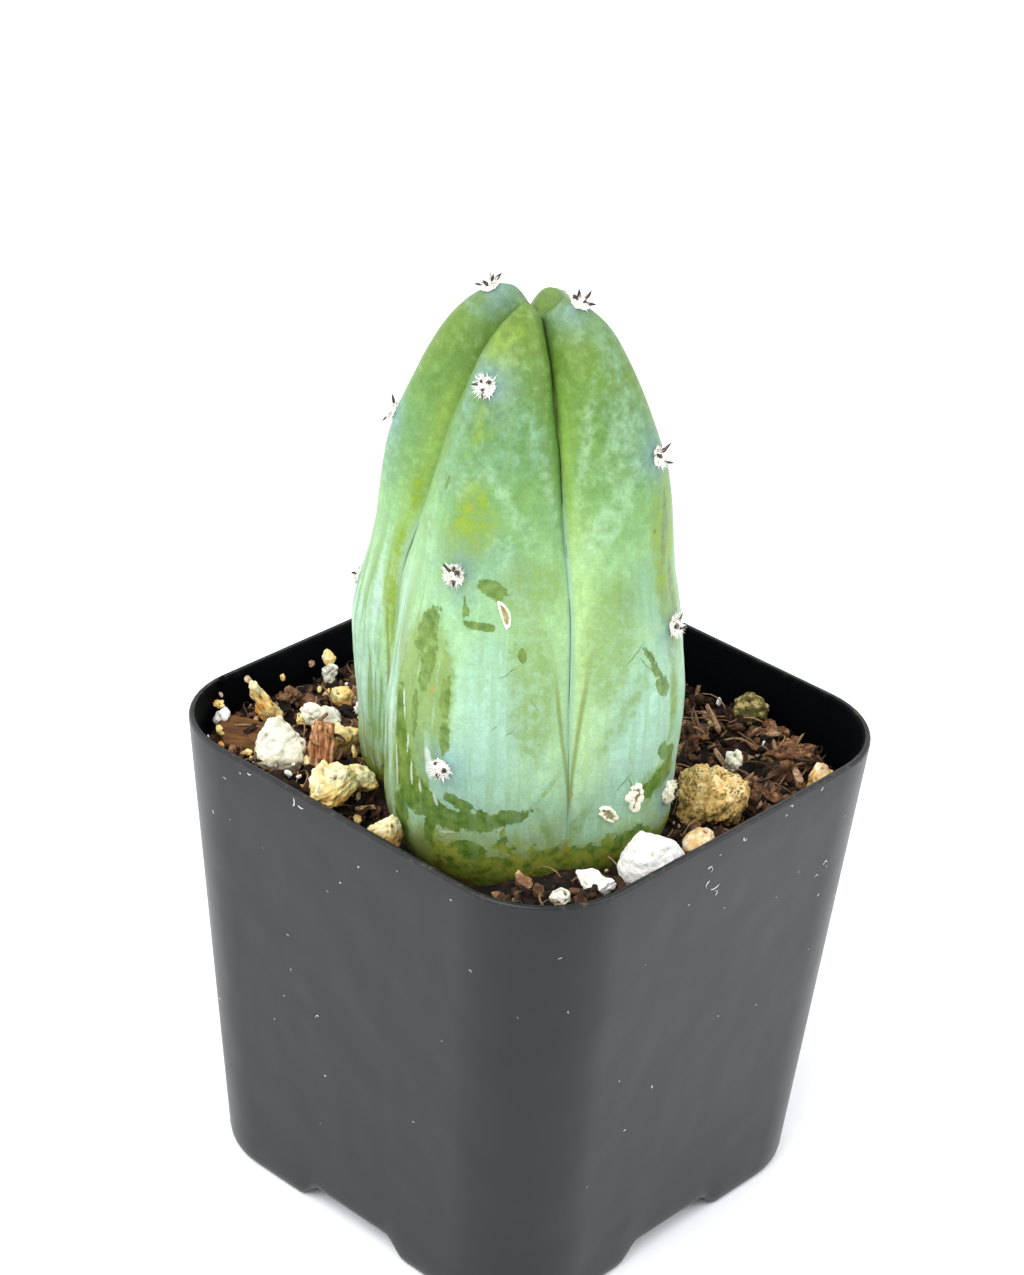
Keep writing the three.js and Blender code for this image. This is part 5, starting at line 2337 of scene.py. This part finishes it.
def packed_shape(frame: dict, node: str) -> Shape:
    """Copies the shape of a node, with its faces joined.

    Args:
        frame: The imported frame.
        node: The node's name.

    Returns:
        The shape.
    """
    shape = bmesh.new()
    shape.from_mesh(frame["nodes"][node].data)
    bmesh.ops.remove_doubles(shape, verts=shape.verts[:], dist=1e-6)
    return shape


class Stone(Enum):
    """The kinds of stone, with their finishes."""

    CREAM = PorousStone(
        "pumice, broken, cream", "#FFFFF4", "#F8F3DC", "#D6CCA0", "#6B6642", 1.8, 0.64, 0.5, 0.4,
    )
    YELLOW = PorousStone(
        "pumice, broken, yellow", "#FFF8CC", "#F9DB8C", "#DE9C46", "#6B5226", 2.2, 0.57, 0.4, 0.8,
    )
    BROWN = PorousStone("pumice, broken, brown", "#E6CC90", "#BA9650", "#83643A", "#3A2A14")
    ORANGE = PorousStone("pumice, broken, orange", "#FFF6DA", "#F2C888", "#D08E4C", "#6B4A22", 1.6)
    TAN = PorousStone(
        "pumice, broken, tan", "#FFEAB0", "#EDC276", "#8C7E40", "#4E4424", 1.1, 0.54, 0.36, 0.85, 0.56,
    )
    GREEN = PorousStone(
        "pumice, broken, greenish", "#CDB478", "#736A38", "#3E3F1E", "#1E1F0D", 0.9, 0.5, 0.36, 0.9, 0.48,
    )
    PERLITE = PorousStone(
        "perlite, puffed", "#FFFFFF", "#FFFFFC", "#EFEAD4", "#C9C0A4", 2.0, 0.75, 0.5, 0.3,
    )


@dataclass(frozen=True)
class Grit:
    """One stone on the mix: its node and kind, and how broken, lumpy, pitted, swollen, bent,
    rough and cracked it is. Its top leans by some millimetres. Its facets lie at about a share
    of its half size, its depth, and cut away most of what stands past them."""

    node: str
    kind: Stone
    facets: int = 9
    lump: float = 0.2
    lump_size: float = 1.4
    pit: float = 0.25
    pit_size: float = 0.7
    swell: float = 1.1
    taller: float = 1.0
    warp: float = 0.2
    fine: float = 0.12
    crack: float = 0.0
    lean: Pair = (0.0, 0.0)
    depth: float = 0.74
    depth_spread: float = 0.12
    cut: float = 0.85

    def build(self, frame: dict, finish: Finish, number: int) -> None:
        """Builds the stone from its node.

        Args:
            frame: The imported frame.
            finish: Its material.
            number: The stone's number, which sets its facets and pits.
        """
        draw = random.Random(100 + number)
        shape = packed_shape(frame, self.node)
        for _ in range(3):
            bmesh.ops.subdivide_edges(shape, edges=shape.edges[:], cuts=1, use_grid_fill=True)
            relax(shape, 2)
        low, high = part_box(self.node)
        middle = (low + high) / 2
        half = (high - low) / 2
        planes = []
        for _ in range(self.facets):
            facing = Vector([draw.gauss(0, 1) for _ in range(3)]).normalized()
            reach = Vector([facing[i] * half[i] for i in range(3)]).length
            near, far = self.depth - self.depth_spread, self.depth + self.depth_spread
            planes.append((facing, reach * draw.uniform(near, far)))
        dark_hollows = shape.verts.layers.float.new("dark_hollows")
        stain_and_shade = shape.verts.layers.float.new("stain_and_shade")
        shape.normal_update()
        for vert in shape.verts:
            out = vert.co - middle
            for facing, reach in planes:
                past = out.dot(facing) - reach
                if past > 0:
                    out -= facing * past * self.cut
            at = out / MM + Vector((number * 7.0, 0, 0))
            lump = 0.55 - noise.voronoi(at / self.lump_size)[0][0]
            knob = 0.5 - noise.voronoi(at / (self.lump_size * 0.45) + Vector((4, 0, 0)))[0][0]
            fine = noise.fractal(at / 0.7, 0.8, 2.0, 4)
            near = noise.voronoi(at / self.pit_size + Vector((3, 9, number)))[0][0]
            chosen = noise.noise(at / 1.1 + Vector((0, 5, 0))) > -0.1
            pit = eased((0.36 - near) / 0.3) if chosen else 0.0
            split = noise.voronoi(at / 2.6 + Vector((number, 2, 0)))[0]
            crack = self.crack * eased((0.1 - split[1] + split[0]) / 0.1)
            # Painted shade: the hollows between the lumps and the cracks are darkened as well as the pits.
            hollow = (max(-lump, 0) * 1.5 + max(-knob, 0) * 0.8) * min(self.lump * 3, 1)
            vert[dark_hollows] = clamped(pit * 0.9 + hollow - fine * 0.35 + crack * 0.7)
            # Darker towards the underside: partly soil staining, partly painted shade.
            vert[stain_and_shade] = clamped(0.35 - 0.65 * vert.normal.z)
            move = self.lump * (lump + 0.45 * knob) * self.lump_size
            move += self.fine * fine - self.pit * pit - crack * 0.3
            bend = drifts(at / (half.length / MM) * 1.1 + Vector((0, number * 3.0, 0)))
            lean = Vector((*self.lean, 0.0)) * out.z / half.z * MM
            vert.co = middle + out + vert.normal * move * MM + bend * half.length * self.warp + lean
        grow = half * (self.swell - 1)
        rise = UP * half.z * (self.taller - 1) * 2
        fit_to_box(shape, low - grow, high + grow + rise)
        face_outwards(shape)
        make_piece(f"{self.node}_stone", shape, [finish], [self.node])


def drifts(at: Vector) -> Vector:
    """Three noises at a place, as a vector."""
    return Vector([noise.noise(at + Vector((offset, -offset, offset))) for offset in (0.0, 31.4, 57.9)])


def relax(shape: Shape, times: int) -> None:
    """Smooths a shape.

    Args:
        shape: The shape.
        times: How many times.
    """
    for _ in range(times):
        bmesh.ops.smooth_vert(
            shape, verts=shape.verts[:], factor=0.5, use_axis_x=True, use_axis_y=True, use_axis_z=True
        )


def fit_to_box(shape: Shape, low: Vector, high: Vector) -> None:
    """Stretches a shape to fill a box.

    Args:
        shape: The shape.
        low: The box's lowest corner.
        high: Its highest corner.
    """
    for axis in range(3):
        places = [vert.co[axis] for vert in shape.verts]
        start, end = min(places), max(places)
        share = (high[axis] - low[axis]) / (end - start)
        for vert in shape.verts:
            vert.co[axis] = low[axis] + (vert.co[axis] - start) * share


STONES = (
    Grit("pumice_cream", Stone.CREAM, 11, 0.05, 2.2, 0.05, 0.8, 1.2, 0.98, 0.12, 0.12, 0.4, depth=0.6),
    Grit("pumice_yellow", Stone.YELLOW, 3, 0.6, 1.5, 0.2, 0.7, 1.28, 1.05, 0.3, 0.16, 0.3),
    Grit("pumice_brown", Stone.YELLOW, 4, 0.5, 1.3, 0.2, 0.7, 1.3, 1, 0.2, 0.16),
    Grit("pumice_small_yellow", Stone.YELLOW, 5, 0.45, 1.2, swell=1.5, taller=1.1),
    Grit("perlite_long", Stone.CREAM, 8, 0.3, 1.8, 0.1, 0.7, 1.35, 1, 0.15, 0.14, 0.6),
    Grit("pumice_round", Stone.YELLOW, 4, 0.25, 1, swell=1.15),
    Grit("pebble_under", Stone.CREAM, 2, 0.6, 1, swell=1.1, taller=1.35),
    Grit("pebble_on_top", Stone.YELLOW, 1, 0.2, 0.9, swell=1.2),
    Grit("pumice_upright", Stone.YELLOW, 0, 0.45, 1.4, 0.15, 0.7, 1.6, 1, 0.06, 0.14, 0.3, (-0.5, -0.4)),
    Grit("perlite_corner", Stone.PERLITE, 6, 0.3, 1, swell=1.4),
    Grit("pumice_rim", Stone.YELLOW, 8, 0.2, 1.4, 0.1, 0.7, 1.3, 1.15, 0.2, 0.16, 0.2),
    Grit("pumice_green", Stone.GREEN, 5, 0.25, 0.9, 0.25, 0.6, 1.22, fine=0.26),
    Grit("pumice_tan", Stone.TAN, 11, 0.12, 1.1, 0.25, 0.5, 1.24, 1.04, 0.2, 0.32, 0.3, depth=0.6),
    Grit("pumice_orange", Stone.ORANGE, 8, 0.2, 1, swell=1.2),
    Grit("perlite_big", Stone.PERLITE, 5, 0.06, 3, 0.05, 0.8, 1.18, 1.02, 0.1),
    Grit("perlite_front", Stone.PERLITE, 7, 0.3, 1, swell=1.2, warp=0.3),
    Grit("perlite_small", Stone.CREAM, 5, 0.25, 0.9, swell=1.2),
    Grit("perlite_crumb", Stone.CREAM, 2, 0.5, 0.9, 0.2, 0.6, 1.3, 1.15, 0.1, 0.2),
    Grit("pumice_wedge", Stone.ORANGE, 12, 0.12, 1.4, 0.1, 0.7, 1.15, 0.9, 0.2, 0.14, 0.5),
    Grit("pumice_back_tan", Stone.TAN, 9, 0.25),
    Grit("pumice_back_cream", Stone.CREAM, 9, 0.2),
    Grit("perlite_back", Stone.PERLITE, 7, 0.2),
    Grit("pumice_back_yellow", Stone.YELLOW, 6, 0.3),
    Grit("perlite_back_small", Stone.PERLITE, 6),
    Grit("pumice_back_brown", Stone.BROWN, 7, 0.25),
)


class Chip(Enum):
    """The kinds of bark chip, with their finishes."""

    FLAT = PineBark("pine bark, broken, brown", "#4C2F16", "#6E4519", "#8A5A22", 0.35, 2.2)
    RED = PineBark("pine bark, torn, fox red", "#6A3418", "#C98452", "#FFE4BC", 0.3, 3.2)
    COIR = PineBark("coir, matted, brown", "#2A1A10", "#7A4E30", "#C08E60", 0.5, 1.2)


@dataclass(frozen=True)
class BarkChip:
    """One bark chip: its node, kind, the turn of its fibres, how ragged it is and how many
    loose fibres stand out of it."""

    node: str
    kind: Chip
    turn: float
    upright: bool = False
    ragged: float = 0.2
    fibres: int = 0
    swell: float = 1.0

    def fray(self, heap: Heap, shape: Shape, number: int) -> None:
        """Lets curved fibres stand out of the chip.

        Args:
            heap: The heap that gets the fibres.
            shape: The chip.
            number: The chip's number.
        """
        draw = random.Random(500 + number)
        shape.verts.ensure_lookup_table()
        for _ in range(self.fibres):
            vert = shape.verts[draw.randrange(len(shape.verts))]
            root = vert.co - vert.normal * 0.1 * MM
            heading = (Vector([draw.gauss(0, 1) for _ in range(3)]) + vert.normal * 0.8).normalized()
            turn = Vector([draw.gauss(0, 1) for _ in range(3)]).normalized()
            length = draw.uniform(0.9, 2.8) * MM
            path = [root]
            for _ in range(5):
                heading = (heading + turn * 0.35 - vert.normal * 0.18).normalized()
                path.append(path[-1] + heading * length / 5)
            width = draw.triangular(0.06, 0.34, 0.12) * MM
            light = draw.betavariate(1.5, 2.2)
            tint = heap.lot().verts.layers.float["tint"]
            for strand_vert in draw_strand(heap.current, path, [width] * 4 + [width * 0.6], 4):
                strand_vert[tint] = light

    def build(self, frame: dict, finish: Finish, fibre: Finish, number: int) -> None:
        """Builds the chip from its node.

        Args:
            frame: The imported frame.
            finish: Its material.
            fibre: The material of its loose fibres.
            number: The chip's number, which sets its raggedness.
        """
        shape = packed_shape(frame, self.node)
        bmesh.ops.dissolve_limit(shape, angle_limit=0.02, verts=shape.verts[:], edges=shape.edges[:])
        bmesh.ops.triangulate(shape, faces=shape.faces[:])
        for _ in range(4):
            long = [e for e in shape.edges if e.calc_length() > 0.22 * MM]
            bmesh.ops.subdivide_edges(shape, edges=long, cuts=1)
            bmesh.ops.triangulate(shape, faces=shape.faces[:])
        relax(shape, 1)
        grain = shape.verts.layers.float_vector.new("grain")
        low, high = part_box(self.node)
        middle = (low + high) / 2
        turned = Matrix.Rotation(radians(-self.turn), 3, "Z")
        if self.upright:
            turned = Matrix.Rotation(radians(90), 3, "X") @ turned
        shape.normal_update()
        for vert in shape.verts:
            local = turned @ (vert.co - middle)
            vert[grain] = local
            at = local / MM + Vector((0, 0, number * 5.0))
            fibrous = noise.noise(Vector((at.x * 3.2, at.y * 0.5, at.z * 3.2)))
            tear = noise.fractal(at / 1.5, 0.8, 2.0, 3)
            vert.co += vert.normal * (0.16 * fibrous + self.ragged * tear) * MM
        grow = (high - low) / 2 * (self.swell - 1)
        fit_to_box(shape, low - grow, high + grow)
        face_outwards(shape)
        heap = Heap("tint")
        self.fray(heap, shape, number)
        make_piece(f"{self.node}_chip", shape, [finish], [self.node])
        loose = heap.finished()
        if self.fibres:
            make_piece(f"{self.node}_fibres", loose, [fibre])
        else:
            loose.free()


CHIPS = (
    BarkChip("bark_flat", Chip.FLAT, 43 + 90, False, 0.2, 0, 1.35),
    BarkChip("bark_upright", Chip.RED, 43, True, 0.2, 12, 1.08),
    BarkChip("bark_chunk", Chip.COIR, 43 + 90, False, 0.9, 44, 1.15),
    BarkChip("bark_lump", Chip.COIR, 30 + 90, False, 0.9, 34, 1.2),
    BarkChip("bark_back", Chip.COIR, 55, False, 0.5, 36),
)


@dataclass(frozen=True)
class Softbox:
    """A square area light by its direction, distance and side, in metres, and its power."""

    name: str
    azimuth: float
    elevation: float
    distance: float
    side: float
    power: float

    def build(self, aim: Vector) -> None:
        """Hangs the light.

        Args:
            aim: The point that it faces.
        """
        turn, rise = radians(self.azimuth), radians(self.elevation)
        back = Vector((sin(turn) * cos(rise), -cos(turn) * cos(rise), sin(rise)))
        lamp = bpy.data.lights.new(self.name, "AREA")
        lamp.shape = "SQUARE"
        lamp.size = self.side
        lamp.energy = self.power
        light = set_out(self.name, lamp)
        light.location = aim + back * self.distance
        light.rotation_mode = "QUATERNION"
        light.rotation_quaternion = (-back).to_track_quat("-Z", "Y")


@dataclass
class Studio:
    """The pale floor, the soft light and the camera at the photograph's angle."""

    camera_place: Place = (213.73, -241.84, 244.78)
    camera_facing: Place = (-0.5855, 0.6517, -0.4822)
    camera_roll: float = 3.32
    lens: float = 95.57
    sensor: float = 36.0
    floor_side: float = 6.0
    floor_colour: str = "#F8F9FC"
    floor_fibre: str = "#F3F4F8"
    sky_strength: float = 1.05
    aim: Place = (0.0, 0.0, 60.0)
    softboxes: tuple[Softbox, ...] = (
        Softbox("softbox_key", 5, 48, 1.1, 0.9, 11.0),
        Softbox("softbox_left", -70, 20, 1.0, 0.8, 3.6),
        Softbox("softbox_right", 125, 35, 1.0, 0.8, 4.6),
    )

    def camera(self) -> None:
        """Sets the camera up, without shift or depth of field."""
        lens = bpy.data.cameras.new("camera")
        lens.sensor_width = self.sensor
        lens.lens = self.lens
        lens.clip_start = 0.01
        camera = set_out("camera", lens)
        camera.location = Vector(self.camera_place) * MM
        camera.rotation_mode = "QUATERNION"
        level = Vector(self.camera_facing).to_track_quat("-Z", "Y")
        camera.rotation_quaternion = level @ Quaternion((0, 0, 1), radians(self.camera_roll))
        bpy.context.scene.camera = camera

    def floor(self) -> None:
        """Lays the floor."""
        shape = bmesh.new()
        bmesh.ops.create_grid(shape, x_segments=1, y_segments=1, size=self.floor_side / 2)
        mesh = bpy.data.meshes.new("floor")
        shape.to_mesh(mesh)
        shape.free()
        mix = Recipe("backdrop paper, matt, white", 1.0)
        fibres = mix.add("TexNoise", grain(3.0, 2.0))
        paper = mix.paint(self.floor_colour, self.floor_fibre, fibres)
        mesh.materials.append(mix.finished(paper, 0.9))
        set_out("floor", mesh)

    def sky(self) -> None:
        """Lights the room evenly."""
        world = bpy.data.worlds.new("white room")
        world.use_nodes = True
        world.node_tree.nodes["Background"].inputs["Color"].default_value = (1, 1, 1, 1)
        world.node_tree.nodes["Background"].inputs["Strength"].default_value = self.sky_strength
        bpy.context.scene.world = world

    def build(self) -> None:
        """Sets up the studio."""
        self.camera()
        self.floor()
        self.sky()
        for softbox in self.softboxes:
            softbox.build(Vector(self.aim) * MM)
        bpy.context.scene.view_settings.view_transform = "Standard"


def main() -> None:
    """Loads the frame, builds the studio, the pot and the plant."""
    logging.basicConfig(level=logging.INFO, format="%(message)s")
    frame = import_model()
    Studio().build()
    pot, stem = Pot(), Stem()
    surface = pot.build([MouldedPolypropylene().material(), INNER_WALL_PAINTED_SHADE.material()])
    Dusting().build(pot, surface, PlantFibre("lint, cotton", "#B9B6AE", "#FFFFFF").material())
    wool = [stem.crest_frame(areole.rib, areole.height)[0] for areole in AREOLES]
    skin = stem.build(wool, WaxySkin())
    cork = ScarCork().material()
    wool_finish = AreoleWool().material()
    spine_finish = HornSpine().material()
    for number, areole in enumerate(AREOLES):
        areole.build(stem, [cork if areole.healed else wool_finish, spine_finish], number)
    for number, scar in enumerate(SCARS):
        scar.build(skin, cork, number)
    fibre = PlantFibre("coir fibre, dry", "#2A1A10", "#C79A6C").material()
    stone_finishes = {kind: kind.value.material() for kind in Stone}
    mix = PottingMix(Ground(pot), stem)
    mix.build(CoirAndPeat().material(), fibre, stone_finishes[Stone.PERLITE], stone_finishes[Stone.YELLOW])
    for number, grit in enumerate(STONES):
        grit.build(frame, stone_finishes[grit.kind], number)
    chip_finishes = {kind: kind.value.material() for kind in Chip}
    for number, chip in enumerate(CHIPS):
        chip.build(frame, chip_finishes[chip.kind], fibre, number)


if __name__ == "__main__":
    main()
